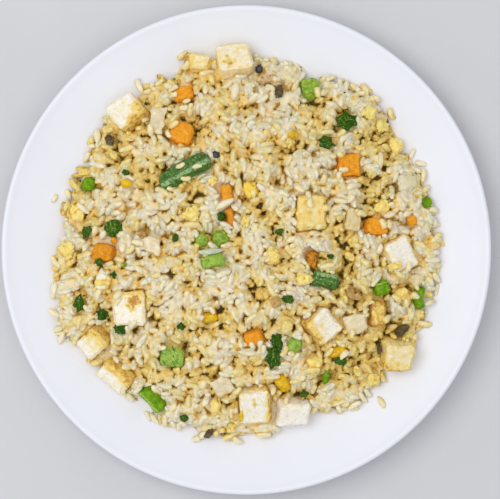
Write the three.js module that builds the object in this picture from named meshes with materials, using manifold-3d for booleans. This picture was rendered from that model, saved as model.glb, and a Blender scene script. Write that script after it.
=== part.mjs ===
// Fried rice with tofu, beans, carrot, corn, egg, mushroom and onion on a rimless white coupe plate.
// Millimetres, +Z up. The origin is under the plate's centre, on the surface that it stands on.
import * as THREE from "three";
import { ConvexGeometry } from "three/addons/geometries/ConvexGeometry.js";
import { mergeVertices } from "three/addons/utils/BufferGeometryUtils.js";
import Module from "manifold-3d";

const wasm = await Module();
wasm.setup();

// Plate
const PLATE_RADIUS = 135;
const PLATE_HEIGHT = 24;
const PLATE_WALL = 4.2;
const PLATE_SEGMENTS = 52;
const LIP_WIDTH = 3.4;
const LIP_ROUND = 1.8;
const LIP_DROP = 1;
const FLOOR_RADIUS = 62;
const FLOOR_Z = 7.2;
const RISE_POWER = 1.8;
const RISE_STEPS = 4;
const FOOT_RADIUS = 78;
const FOOT_WIDTH = 5;
const FOOT_HEIGHT = 3;
const FOOT_SLOPE = 1;

// Heap of rice
const HEAP_RADIUS = 104.3;
const HEAP_CROWN_Z = 39;
const HEAP_EDGE_DEPTH = 4;
const HEAP_POWER = 2.6;
const HEAP_RINGS = 21;
const GRAIN_BUMP = 1.5;
const GRAIN_SHIFT = 0.9;
const BROAD_LUMP = 1.3;
const BROAD_LUMP_LENGTH = 34;
// Over this step the heap's slope is measured, wider than its grains.
const SLOPE_STEP = 3;
// Where the heap's outline swells or draws in: direction in degrees, millimetres, spread in degrees.
const HEAP_BULGES = [
  [0, 3, 8],
  [50, 6, 9],
  [95, 6, 14],
  [130, 4.5, 8],
  [157, -3, 12],
  [201, 7, 12],
  [288, -6, 14],
  [331, 3, 7],
];

// Clearance between pieces that lie against each other, and between any topping and the faceted plate.
const GAP = 0.3;
const PLATE_CLEARANCE = 0.7;

const DEG = Math.PI / 180;

function seededRandom(seed) {
  let state = seed >>> 0;
  return () => {
    state = (state + 0x6d2b79f5) >>> 0;
    let value = Math.imul(state ^ (state >>> 15), 1 | state);
    value = (value + Math.imul(value ^ (value >>> 7), 61 | value)) ^ value;
    return ((value ^ (value >>> 14)) >>> 0) / 4294967296;
  };
}

// ---- Surfaces that the pieces are placed by ----

function plateTop(radius) {
  const lipStart = PLATE_RADIUS - LIP_WIDTH;
  const share = Math.max(0, (radius - FLOOR_RADIUS) / (lipStart - FLOOR_RADIUS));
  return FLOOR_Z + (PLATE_HEIGHT - LIP_DROP - FLOOR_Z) * share ** RISE_POWER;
}

function heapReach(angle) {
  let reach = HEAP_RADIUS;
  for (const [direction, amount, spread] of HEAP_BULGES) {
    const turn = Math.atan2(Math.sin(angle - direction * DEG), Math.cos(angle - direction * DEG));
    reach += amount * Math.exp(-((turn / (spread * DEG)) ** 2));
  }
  return reach;
}

function heapTop(x, y) {
  const reach = heapReach(Math.atan2(y, x));
  const share = Math.min(1, Math.hypot(x, y) / reach);
  const edgeZ = plateTop(reach) + HEAP_EDGE_DEPTH;
  const wave = (2 * Math.PI) / BROAD_LUMP_LENGTH;
  const lump = Math.sin(x * wave + 0.7) * Math.cos(y * wave * 0.83 - 0.4) * (1 - share ** 4);
  return HEAP_CROWN_Z - (HEAP_CROWN_Z - edgeZ) * share ** HEAP_POWER + BROAD_LUMP * lump;
}

function heapNormal(x, y) {
  const slopeX = (heapTop(x + SLOPE_STEP, y) - heapTop(x - SLOPE_STEP, y)) / (2 * SLOPE_STEP);
  const slopeY = (heapTop(x, y + SLOPE_STEP) - heapTop(x, y - SLOPE_STEP)) / (2 * SLOPE_STEP);
  return new THREE.Vector3(-slopeX, -slopeY, 1).normalize();
}

// ---- Mesh helpers ----

// Joins the shared corners and drops triangles closed up to a line, as at the poles of a turned shape.
function weld(geometry) {
  const bare = new THREE.BufferGeometry();
  bare.setAttribute("position", geometry.getAttribute("position"));
  if (geometry.index) bare.setIndex(geometry.index);
  const merged = mergeVertices(bare, 1e-4);
  const corners = merged.index.array;
  const kept = [];
  for (let i = 0; i < corners.length; i += 3) {
    const [a, b, c] = [corners[i], corners[i + 1], corners[i + 2]];
    if (a !== b && b !== c && c !== a) kept.push(a, b, c);
  }
  merged.setIndex(kept);
  return merged;
}

function toSolid(geometry) {
  const vertProperties = new Float32Array(geometry.getAttribute("position").array);
  const triVerts = new Uint32Array(geometry.index.array);
  return new wasm.Manifold(new wasm.Mesh({ numProp: 3, vertProperties, triVerts }));
}

function fromSolid(solid) {
  const mesh = solid.getMesh();
  const geometry = new THREE.BufferGeometry();
  geometry.setAttribute("position", new THREE.BufferAttribute(mesh.vertProperties, 3));
  geometry.setIndex(new THREE.BufferAttribute(mesh.triVerts, 1));
  return weld(geometry);
}

// A closed slab over a disc of rings, ring k with 6k corners. Both faces are split into triangles alike.
// place(share, angle) gives [x, y]; top and bottom give the heights of the faces.
function discSlab(rings, place, top, bottom) {
  const points = [place(0, 0)];
  const ringStart = (ring) => (ring === 0 ? 0 : 1 + 3 * ring * (ring - 1));
  for (let ring = 1; ring <= rings; ring += 1) {
    for (let i = 0; i < 6 * ring; i += 1) {
      points.push(place(ring / rings, (i / (6 * ring)) * 2 * Math.PI));
    }
  }
  const count = points.length;
  const positions = [];
  points.forEach(([x, y]) => positions.push(x, y, top(x, y)));
  points.forEach(([x, y]) => positions.push(x, y, bottom(x, y)));
  const corners = [];
  const face = (a, b, c) => {
    corners.push(a, b, c);
    corners.push(count + a, count + c, count + b);
  };
  for (let ring = 1; ring <= rings; ring += 1) {
    const inner = (i) => ringStart(ring - 1) + (ring === 1 ? 0 : i % (6 * (ring - 1)));
    const outer = (i) => ringStart(ring) + (i % (6 * ring));
    for (let side = 0; side < 6; side += 1) {
      for (let i = 0; i < ring; i += 1) {
        const out = side * ring + i;
        const back = side * (ring - 1) + i;
        face(outer(out), outer(out + 1), inner(back));
        if (i < ring - 1) face(inner(back), outer(out + 1), inner(back + 1));
      }
    }
  }
  const rim = (i) => ringStart(rings) + (i % (6 * rings));
  for (let i = 0; i < 6 * rings; i += 1) {
    corners.push(rim(i), count + rim(i), rim(i + 1));
    corners.push(rim(i + 1), count + rim(i), count + rim(i + 1));
  }
  const geometry = new THREE.BufferGeometry();
  geometry.setAttribute("position", new THREE.Float32BufferAttribute(positions, 3));
  geometry.setIndex(corners);
  return weld(geometry);
}

// ---- Topping shapes, each centred on the origin and grown on every side by grow ----

// A cut block with bevelled edges, whose corners are up to uneven out of square. taper narrows its top.
// Grown and not tapered, it keeps its corners sharp, so that the socket it leaves is a plain one.
function block([length, width, height], { round = 1.2, taper = 0, uneven = 0.3, seed = 1 }, grow) {
  const random = seededRandom(seed);
  const half = [length / 2 + grow, width / 2 + grow, height / 2 + grow];
  const bevel = grow > 0 && taper === 0 ? 0 : round;
  const points = [];
  for (const sx of [-1, 1]) {
    for (const sy of [-1, 1]) {
      for (const sz of [-1, 1]) {
        const narrowing = sz > 0 ? 1 - taper : 1;
        const shift = (random() - 0.5) * 2 * uneven;
        for (let flat = 0; flat < 3; flat += 1) {
          const [x, y, z] = half.map((size, axis) => size - (axis === flat ? 0 : bevel));
          points.push(new THREE.Vector3(sx * x * narrowing + shift, sy * y * narrowing - shift, sz * z));
        }
      }
    }
  }
  return weld(new ConvexGeometry(points));
}

// A round or lumpy piece. uneven is how far its surface swells and dips, as a share of its radius.
function ball([length, width, height], { uneven = 0, seed = 1 }, grow) {
  const geometry = weld(new THREE.IcosahedronGeometry(1, 1));
  const random = seededRandom(seed);
  const position = geometry.getAttribute("position");
  for (let i = 0; i < position.count; i += 1) {
    const swell = 1 - uneven * random();
    position.setXYZ(
      i,
      position.getX(i) * ((length / 2) * swell + grow),
      position.getY(i) * ((width / 2) * swell + grow),
      position.getZ(i) * ((height / 2) * swell + grow),
    );
  }
  return geometry;
}

// A bean or a cut stalk along X, bent sideways by bend millimetres at its middle. Its cut ends bulge by
// blunt times its radius.
function bean([length, width, height], { bend = 0, blunt = 0.4 }, grow) {
  const radius = width / 2 + grow;
  const straight = Math.max(0.5, length + 2 * grow - 2 * radius * blunt);
  const geometry = weld(new THREE.CapsuleGeometry(radius, straight, 2, 8, 3));
  geometry.rotateZ(Math.PI / 2);
  const position = geometry.getAttribute("position");
  const flatten = (height / 2 + grow) / radius;
  for (let i = 0; i < position.count; i += 1) {
    const beyond = Math.max(0, Math.abs(position.getX(i)) - straight / 2);
    position.setX(i, position.getX(i) - Math.sign(position.getX(i)) * beyond * (1 - blunt));
    const along = position.getX(i) / (length / 2);
    position.setY(i, position.getY(i) + bend * (1 - along * along));
    position.setZ(i, position.getZ(i) * flatten);
  }
  return geometry;
}

// A thin wavy leaf with a toothed edge. point is the share by which it narrows towards both ends of X, and
// notch is how far its edge draws in between its six teeth.
function leaf([length, width, thickness], { wave = 1, point = 0.25, notch = 0.28, seed = 1 }, grow) {
  const place = (share, angle) => {
    const narrowing = 1 - point * Math.cos(angle) ** 2 * share;
    const tooth = 1 - notch * share * (0.5 - 0.5 * Math.cos(6 * angle));
    return [
      share * (length / 2 + grow) * Math.cos(angle) * tooth,
      share * (width / 2 + grow) * Math.sin(angle) * narrowing * tooth,
    ];
  };
  const lift = (x, y) => wave * Math.sin((x / length) * 5 + seed) * Math.cos((y / width) * 4 + seed * 2);
  const half = thickness / 2 + grow;
  return discSlab(2, place, (x, y) => lift(x, y) + half, (x, y) => lift(x, y) - half);
}

// A curved slice, as of mushroom: a stretch of a ring, length across its ends and width from back to hollow.
function crescent([length, width, height], { arc = 150 }, grow) {
  const outer = length / 2;
  const inner = Math.max(outer - width * 0.62, outer * 0.3);
  const half = (arc / 2) * DEG + grow / outer;
  const shape = new THREE.Shape();
  shape.absarc(0, 0, outer + grow, Math.PI / 2 - half, Math.PI / 2 + half, false);
  shape.absarc(0, 0, inner - grow, Math.PI / 2 + half, Math.PI / 2 - half, true);
  const depth = height + 2 * grow;
  const geometry = new THREE.ExtrudeGeometry(shape, { depth, bevelEnabled: false, curveSegments: 7 });
  geometry.translate(0, -(outer + inner) / 2, -depth / 2);
  return weld(geometry);
}

// ---- What lies on the rice ----

// proud is the share of a piece's height that stands above the rice.
const KINDS = {
  tofu: { shape: block, round: 1.8, uneven: 0.4, proud: 0.3, color: 0xefe3c8, roughness: 0.55 },
  carrot: { shape: block, round: 1.3, uneven: 0.4, proud: 0.35, color: 0xe88f24, roughness: 0.45 },
  corn: { shape: block, round: 1.5, taper: 0.25, proud: 0.4, color: 0xe6bb2c, roughness: 0.4 },
  onion: { shape: block, round: 0.7, uneven: 0.5, proud: 0.6, color: 0xdfd9a0, roughness: 0.35 },
  chunk: { shape: block, round: 1.6, uneven: 0.5, proud: 0.4, color: 0x4f7a28, roughness: 0.45 },
  egg: { shape: ball, uneven: 0.28, proud: 0.4, color: 0xf4d478, roughness: 0.6 },
  pea: { shape: ball, uneven: 0.05, proud: 0.4, color: 0x4c7d26, roughness: 0.4 },
  bean: { shape: bean, bend: 1.2, proud: 0.4, color: 0x3f6b33, roughness: 0.4 },
  scallion: { shape: bean, bend: 0.6, proud: 0.4, color: 0x8fae45, roughness: 0.4 },
  leaf: { shape: leaf, wave: 0.8, proud: 1.1, color: 0x365f1f, roughness: 0.5 },
  mushroom: { shape: crescent, proud: 0.6, color: 0x6b5638, roughness: 0.5 },
};

// Each row: kind, x, y, [length, width, height], turn, and lean where one side is raised, in degrees.
const TOPPINGS = [
  ["tofu", -64.6, 75.4, [18, 17, 15], 38],
  ["tofu", -26.6, 103.2, [15, 10, 10], -6],
  ["tofu", -6.8, 104.3, [20, 17, 14], 8],
  ["tofu", -62.9, -32, [18.5, 20, 16], 2],
  ["tofu", -83.8, -50.7, [16.5, 14, 13], 41],
  ["tofu", 40.6, -41.4, [17, 17, 16], 38, 14],
  ["tofu", 83.3, -2.4, [16, 19, 14], 26],
  ["tofu", 34.3, 19.9, [17.6, 20, 15], 0],
  ["tofu", 4.4, -84.6, [18, 20, 14], 5],
  ["tofu", 25.6, -89.4, [19, 15, 12], -2],
  ["tofu", 83, -58.4, [17, 16.5, 13], -4],
  ["tofu", -71.4, -69.4, [20, 13, 12], -40],
  ["tofu", 71.9, -35.2, [9, 15, 11], 0],
  ["bean", -33.4, 42.3, [31, 11.5, 10], 28],
  ["bean", -52.1, -82.6, [17, 9.5, 9], -50],
  ["bean", 42.8, -17.2, [16, 9.5, 8.5], -12],
  ["bean", 96, -26.5, [12.4, 6.8, 6.5], 90],
  ["pea", -14.1, 6.6, [10, 10, 9.5], 0],
  ["pea", -24.4, 5.2, [8.6, 8.4, 8.2], 0],
  ["pea", -87.2, 36.3, [8.8, 8.8, 8.4], 0],
  ["pea", -73, 11.8, [11.5, 11, 9], 20],
  ["scallion", -18.3, -6.5, [14, 8, 7], 12],
  ["scallion", -40.6, -59.2, [14, 11.5, 8], -8],
  ["scallion", 26.3, -53, [9.6, 8.4, 7], 60],
  ["chunk", 35.8, 88.6, [10, 11, 8], 15],
  ["chunk", 74.2, -20.8, [9, 8.5, 7], 10],
  ["leaf", 54.9, 70.6, [14, 12.5, 1.3], 35],
  ["leaf", 43.9, 58.9, [10.5, 9, 1.3], -20],
  ["leaf", -87.6, 10, [8.5, 7.5, 1.3], 60],
  ["leaf", -91.8, -29.2, [11, 9.5, 1.3], 75],
  ["leaf", 14.7, -58.4, [16, 10, 1.3], 80],
  ["carrot", -34.3, 85.8, [11.6, 8, 8], 10],
  ["carrot", -35.4, 63.7, [12.5, 12, 9], -20],
  ["carrot", 55.4, 46.7, [12.7, 12.5, 9], 6],
  ["carrot", 71, 12.8, [12, 9.6, 9], 0],
  ["carrot", -10.6, 30.4, [7, 10, 8], 5],
  ["carrot", -8.7, 18, [5.5, 9.5, 7], 12],
  ["carrot", -78.3, -1.2, [12.4, 10.2, 9], -6],
  ["carrot", 4.2, -48.2, [10, 9, 8], 14],
  ["carrot", 35.5, -5.4, [7, 9.5, 7], -5],
  ["corn", -19.4, -36.9, [9.5, 5.8, 6.5], 8],
  ["corn", 50.5, -56, [11.5, 7.7, 7], -4],
  ["corn", 20.2, -73.6, [10.2, 8, 7], -55],
  ["egg", 75, 23.6, [14, 9, 7], 20],
  ["egg", 3.1, 33, [11, 11, 8], 0],
  ["egg", -78.9, -17.6, [11, 17, 8], 0],
  ["egg", 37.4, -62, [10.5, 10.5, 8], 0],
  ["egg", 83, 56.7, [12, 12, 8], 0],
  ["egg", 86.2, -25.6, [10, 13, 8], 0],
  ["egg", -93.2, 20.8, [13, 12, 8], 0],
  ["mushroom", 12.4, 93.6, [15, 8, 5], -10],
  ["mushroom", 58, -25, [12, 8, 5], 150],
  ["mushroom", 85, -43.8, [10.5, 8, 5], 40],
  ["onion", -49, 71.4, [17, 8.5, 3], 82],
  ["onion", 58.7, 16.5, [12, 9.5, 3], 80],
  ["onion", 59.6, -40.6, [12, 11, 3], 15],
  ["onion", -13, -74.6, [11, 11, 3], 30],
  ["onion", -54.1, 3.2, [15, 9, 3], -10],
];

function buildMaterial({ color, roughness }) {
  return new THREE.MeshStandardMaterial({ color, roughness, metalness: 0 });
}

// Sets a piece into the rice: flat along the surface, then turned, leant, and raised clear of the plate.
function setDown(mesh, x, y, height, proud, turn, lean) {
  const along = new THREE.Quaternion().setFromUnitVectors(new THREE.Vector3(0, 0, 1), heapNormal(x, y));
  const spin = new THREE.Quaternion().setFromEuler(new THREE.Euler(0, lean * DEG, turn * DEG, "ZYX"));
  mesh.quaternion.copy(along.multiply(spin));
  mesh.position.set(x, y, heapTop(x, y) + (proud - 0.5) * height);
  mesh.updateMatrixWorld();
  const corner = new THREE.Vector3();
  const position = mesh.geometry.getAttribute("position");
  let lift = 0;
  for (let i = 0; i < position.count; i += 1) {
    corner.fromBufferAttribute(position, i).applyMatrix4(mesh.matrixWorld);
    lift = Math.max(lift, plateTop(Math.hypot(corner.x, corner.y)) + PLATE_CLEARANCE - corner.z);
  }
  mesh.position.z += lift;
  mesh.updateMatrixWorld();
}

function buildToppings() {
  const counts = {};
  return TOPPINGS.map(([kindName, x, y, size, turn, lean = 0], index) => {
    const kind = KINDS[kindName];
    const look = { ...kind, seed: index + 3 };
    counts[kindName] = (counts[kindName] ?? 0) + 1;
    const mesh = new THREE.Mesh(kind.shape(size, look, 0), buildMaterial(kind));
    mesh.name = `${kindName}_${counts[kindName]}`;
    setDown(mesh, x, y, size[2], kind.proud, turn, lean);
    const socket = kind.shape(size, look, GAP).applyMatrix4(mesh.matrixWorld);
    return { mesh, socket };
  });
}

// ---- Plate ----

function risePoints(offset) {
  const lipStart = PLATE_RADIUS - LIP_WIDTH;
  const points = [];
  for (let i = 0; i <= RISE_STEPS; i += 1) {
    const radius = FLOOR_RADIUS + (lipStart - FLOOR_RADIUS) * (i / RISE_STEPS);
    points.push(new THREE.Vector2(radius, plateTop(radius) + offset));
  }
  return points;
}

// The rounded top of the lip, from its outermost point to its highest.
function lipPoints() {
  const points = [];
  for (const share of [0, 0.5, 1]) {
    const angle = share * (Math.PI / 2);
    const radius = PLATE_RADIUS - LIP_ROUND * (1 - Math.cos(angle));
    points.push(new THREE.Vector2(radius, PLATE_HEIGHT - LIP_ROUND * (1 - Math.sin(angle))));
  }
  return points;
}

function turned(profile) {
  const geometry = new THREE.LatheGeometry(profile, PLATE_SEGMENTS);
  geometry.rotateX(Math.PI / 2);
  return weld(geometry);
}

function buildPlate() {
  const recess = FOOT_RADIUS - FOOT_WIDTH;
  const underside = FLOOR_Z - PLATE_WALL;
  const below = risePoints(-PLATE_WALL).filter((point) => point.x > FOOT_RADIUS + FOOT_SLOPE);
  const profile = [
    new THREE.Vector2(0, underside),
    new THREE.Vector2(recess - FOOT_SLOPE, underside),
    new THREE.Vector2(recess, 0),
    new THREE.Vector2(FOOT_RADIUS - FOOT_SLOPE, 0),
    new THREE.Vector2(FOOT_RADIUS, FOOT_HEIGHT),
    ...below,
    ...lipPoints(),
    ...risePoints(0).reverse(),
    new THREE.Vector2(0, FLOOR_Z),
  ];
  const mesh = new THREE.Mesh(turned(profile), buildMaterial({ color: 0xeeeff4, roughness: 0.15 }));
  mesh.name = "plate";
  return mesh;
}

// ---- Rice ----

// The space that the plate takes, up to the given gap over it, which the heap's underside follows.
function plateSpace() {
  const below = -PLATE_HEIGHT;
  const beyond = PLATE_RADIUS + PLATE_HEIGHT;
  const profile = [
    new THREE.Vector2(0, below),
    new THREE.Vector2(beyond, below),
    new THREE.Vector2(beyond, PLATE_HEIGHT + GAP),
    ...risePoints(GAP).reverse(),
    new THREE.Vector2(0, FLOOR_Z + GAP),
  ];
  return toSolid(turned(profile));
}

function buildRice(sockets) {
  const random = seededRandom(11);
  const place = (share, angle) => {
    const reach = share * heapReach(angle);
    const shift = () => (random() - 0.5) * 2 * GRAIN_SHIFT;
    return [reach * Math.cos(angle) + shift(), reach * Math.sin(angle) + shift()];
  };
  const bumpyTop = (x, y) => heapTop(x, y) + (random() - 0.5) * 2 * GRAIN_BUMP;
  let heap = toSolid(discSlab(HEAP_RINGS, place, bumpyTop, () => 0));
  heap = heap.subtract(plateSpace());
  for (const socket of sockets) {
    heap = heap.subtract(toSolid(socket));
  }
  const bodies = heap.decompose();
  bodies.sort((a, b) => b.volume() - a.volume());
  const material = buildMaterial({ color: 0xd8c091, roughness: 0.6 });
  const mesh = new THREE.Mesh(fromSolid(bodies[0]), material);
  mesh.name = "rice";
  return mesh;
}

// ---- The whole ----

const friedRicePlate = new THREE.Group();
const toppings = buildToppings();
friedRicePlate.add(buildPlate());
friedRicePlate.add(buildRice(toppings.map(({ socket }) => socket)));
for (const { mesh } of toppings) {
  friedRicePlate.add(mesh);
}

export default friedRicePlate;
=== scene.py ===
"""A plate of fried rice: grains heaped over a core, with tofu, vegetables and egg set into them."""

import math

import bmesh
import bpy
import numpy as np
from mathutils import Matrix, Vector, noise
from mathutils.bvhtree import BVHTree


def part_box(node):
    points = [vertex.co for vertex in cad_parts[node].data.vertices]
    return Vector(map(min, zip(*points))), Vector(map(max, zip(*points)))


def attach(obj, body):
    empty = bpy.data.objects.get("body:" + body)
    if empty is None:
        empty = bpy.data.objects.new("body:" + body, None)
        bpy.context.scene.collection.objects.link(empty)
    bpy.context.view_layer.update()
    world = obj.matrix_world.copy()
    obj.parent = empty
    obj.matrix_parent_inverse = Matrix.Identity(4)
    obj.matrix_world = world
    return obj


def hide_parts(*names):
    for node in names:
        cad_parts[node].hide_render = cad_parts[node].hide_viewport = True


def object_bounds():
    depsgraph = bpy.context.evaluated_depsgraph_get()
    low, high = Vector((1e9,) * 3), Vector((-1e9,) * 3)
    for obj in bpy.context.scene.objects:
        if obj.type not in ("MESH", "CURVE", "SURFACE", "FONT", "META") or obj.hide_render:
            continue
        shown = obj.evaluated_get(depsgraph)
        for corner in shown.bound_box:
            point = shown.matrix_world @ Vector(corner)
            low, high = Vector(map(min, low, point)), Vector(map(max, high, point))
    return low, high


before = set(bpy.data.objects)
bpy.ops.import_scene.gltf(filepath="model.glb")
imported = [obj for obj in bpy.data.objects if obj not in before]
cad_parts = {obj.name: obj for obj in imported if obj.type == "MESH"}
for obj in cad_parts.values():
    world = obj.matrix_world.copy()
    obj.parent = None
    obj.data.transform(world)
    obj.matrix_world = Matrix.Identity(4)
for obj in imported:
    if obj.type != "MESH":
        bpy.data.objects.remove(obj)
cad_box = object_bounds()

MM = 0.001
SEED = 23

# Plate
PLATE_HIGH = Vector(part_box("plate")[1])
PLATE_RADIUS = PLATE_HIGH.x
PLATE_HEIGHT = PLATE_HIGH.z
PLATE_WALL = 4.2 * MM
LIP_WIDTH = 3.4 * MM
LIP_DROP = 1.0 * MM
LIP_ROUND = 1.8 * MM
LIP_STEPS = 7
FLOOR_RADIUS = 62 * MM
FLOOR_Z = 7.2 * MM
RISE_POWER = 1.8
RISE_STEPS = 22
FOOT_RADIUS = 78 * MM
FOOT_WIDTH = 5 * MM
FOOT_HEIGHT = 3 * MM
FOOT_ROUND = 1.0 * MM
PLATE_STEPS = 160
WELD = 0.01 * MM

# Heap of rice
HEAP_RADIUS = 104.3 * MM
HEAP_CROWN_Z = 39 * MM
HEAP_EDGE_DEPTH = 4 * MM
HEAP_POWER = 2.6
BROAD_LUMP = 1.3 * MM
BROAD_LUMP_LENGTH = 34 * MM
# Where the heap's outline swells or draws in: direction in degrees, millimetres, spread in degrees.
HEAP_BULGES = ((0, 3, 8), (50, 6, 9), (95, 6, 14), (130, 4.5, 8), (157, -3, 12), (201, 7, 12), (288, -6, 14),
               (331, 3, 7))
CLUMP_HEIGHT = 8 * MM
CLUMP_LENGTH = 12 * MM
CLUMP_LOWEST = -4.0 * MM
CLUMP_HIGHEST = 1.5 * MM
EDGE_SWAY = 4.2 * MM
EDGE_SWAY_LENGTH = 9 * MM
VALLEY_LENGTH = 9 * MM
VALLEY_WIDTH = 0.12
VALLEY_DEPTH = 3 * MM
LEAST_RICE = 1.5 * MM
BANK = 0.5
BANK_HEIGHT = 2.5 * MM

# Core under the grains
CORE_DEPTH = 4.4 * MM
CORE_STEPS = 305
CORE_SINK = 0.15 * MM
CORE_BRIDGE = 3
CORE_FILL = 0.7
EDGE_FILL = 0.25
CORE_INSET = 2 * MM
CORE_THINNEST = 2.5 * MM
CORE_TURNS = 361
# Widest and narrowest that the core can be, and the steps between them, in mm.
CORE_WIDEST = 118
CORE_NARROWEST = 80
CORE_STEP_IN = -0.5
CRACK_SHARE = 0.09
CRACK_DEPTH = 2.6 * MM
# Painted shade: how much more golden-dark the core is painted in its cracks.
CRACK_SHADE = 0.5
CORE_UNDER_TOPPING = 0.5 * MM
CORE_OVER_PLATE = 0.3 * MM

# Pile of grains
CELL = 0.6 * MM
PILE_HALF = 122 * MM
SPOT_HALF = PILE_HALF - 6 * MM
LOWER_DROPS = 1700
UPPER_DROPS = 1900
FILLING_DROPS = 900
LOOSE_CURDS = 210
TOP_CURDS = 70
CLUMPS = 330
CLUMP_SMALLEST = 2.5 * MM
CLUMP_LARGEST = 7 * MM
CLUMP_GRAIN_ROOM = 4.6 * MM**2
CLUMP_MIX = (0.6, 0.33, 0.07)
TOP_LENGTH = 16 * MM
TOP_LIFT = 1.3 * MM
TOP_NESTLE = 0.36
FRINGE = 45
FRINGE_OUT = 0.5 * MM
FRINGE_WIDTH = 1.8 * MM
FRINGE_RISE = 5 * MM
KNOT_RISE = 1.9 * MM
KNOT_WIDTH = 1.8 * MM
KNOT_OUTER = 0.55
KEPT_CLEAR = 0.6
BUNDLE = 3
BUNDLE_GAP = 0.72
BUNDLE_SLIP = 0.22
BUNDLE_TURN = 0.3
SPOTS = 8
BEST_SPOTS = 3
TURNS = 3
STEEPEST = 0.8
HIGHEST = 1.4 * MM
NESTLE = 0.3
CEILING = cad_box[1][2] + 0.9 * MM
STRAY_TURN = 0.8
STRAY_PITCH = 0.1
ROLL = 0.4
SQUEEZE = 0.86
OVERLAP = 0.16
MIDDLE_TONE = 0.27
GOLDEN = 0.46
# Painted shade, with some soaked oil: how much more golden grains deep between others are painted.
DEEP_SHADE_AND_OIL = 0.34
EDGE_PALER = 0.25
# Painted light and shade: how much paler raised parts of the pile are painted, and more golden its hollows.
RISE_LIGHT_AND_SHADE = 0.12
GRAIN_SHAPES = 14
GRAIN_SIDES = 6
LUMP_SHAPES = 8
CURD_SHAPES = 10

# Floor and camera
FLOOR_HALF = 3.0
FLOOR_DROP = 0.1 * MM
PIXEL = 0.5506 * MM
FRAME_WIDTH = 500 * PIXEL
LENS = 180.0
SENSOR = 36.0
VIEW_CENTRE = (2.04 * MM, 0.22 * MM)


# ---- Finishes ----

# Colours of the rice from where it is palest to where it is most golden, its darkest steps the painted
# shade of gaps and cracks, and of the tofu from white to fried.
RICE_TONES = ((0.0, (252, 234, 203)), (0.18, (252, 227, 174)), (0.36, (251, 217, 138)),
              (0.55, (242, 205, 110)), (0.74, (209, 174, 86)), (0.9, (160, 126, 42)), (1.0, (108, 84, 26)))
TOFU_TONES = ((0.0, (254, 247, 236)), (0.25, (252, 236, 206)), (0.5, (248, 223, 146)),
              (0.75, (240, 207, 104)), (1.0, (196, 140, 42)))

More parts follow.
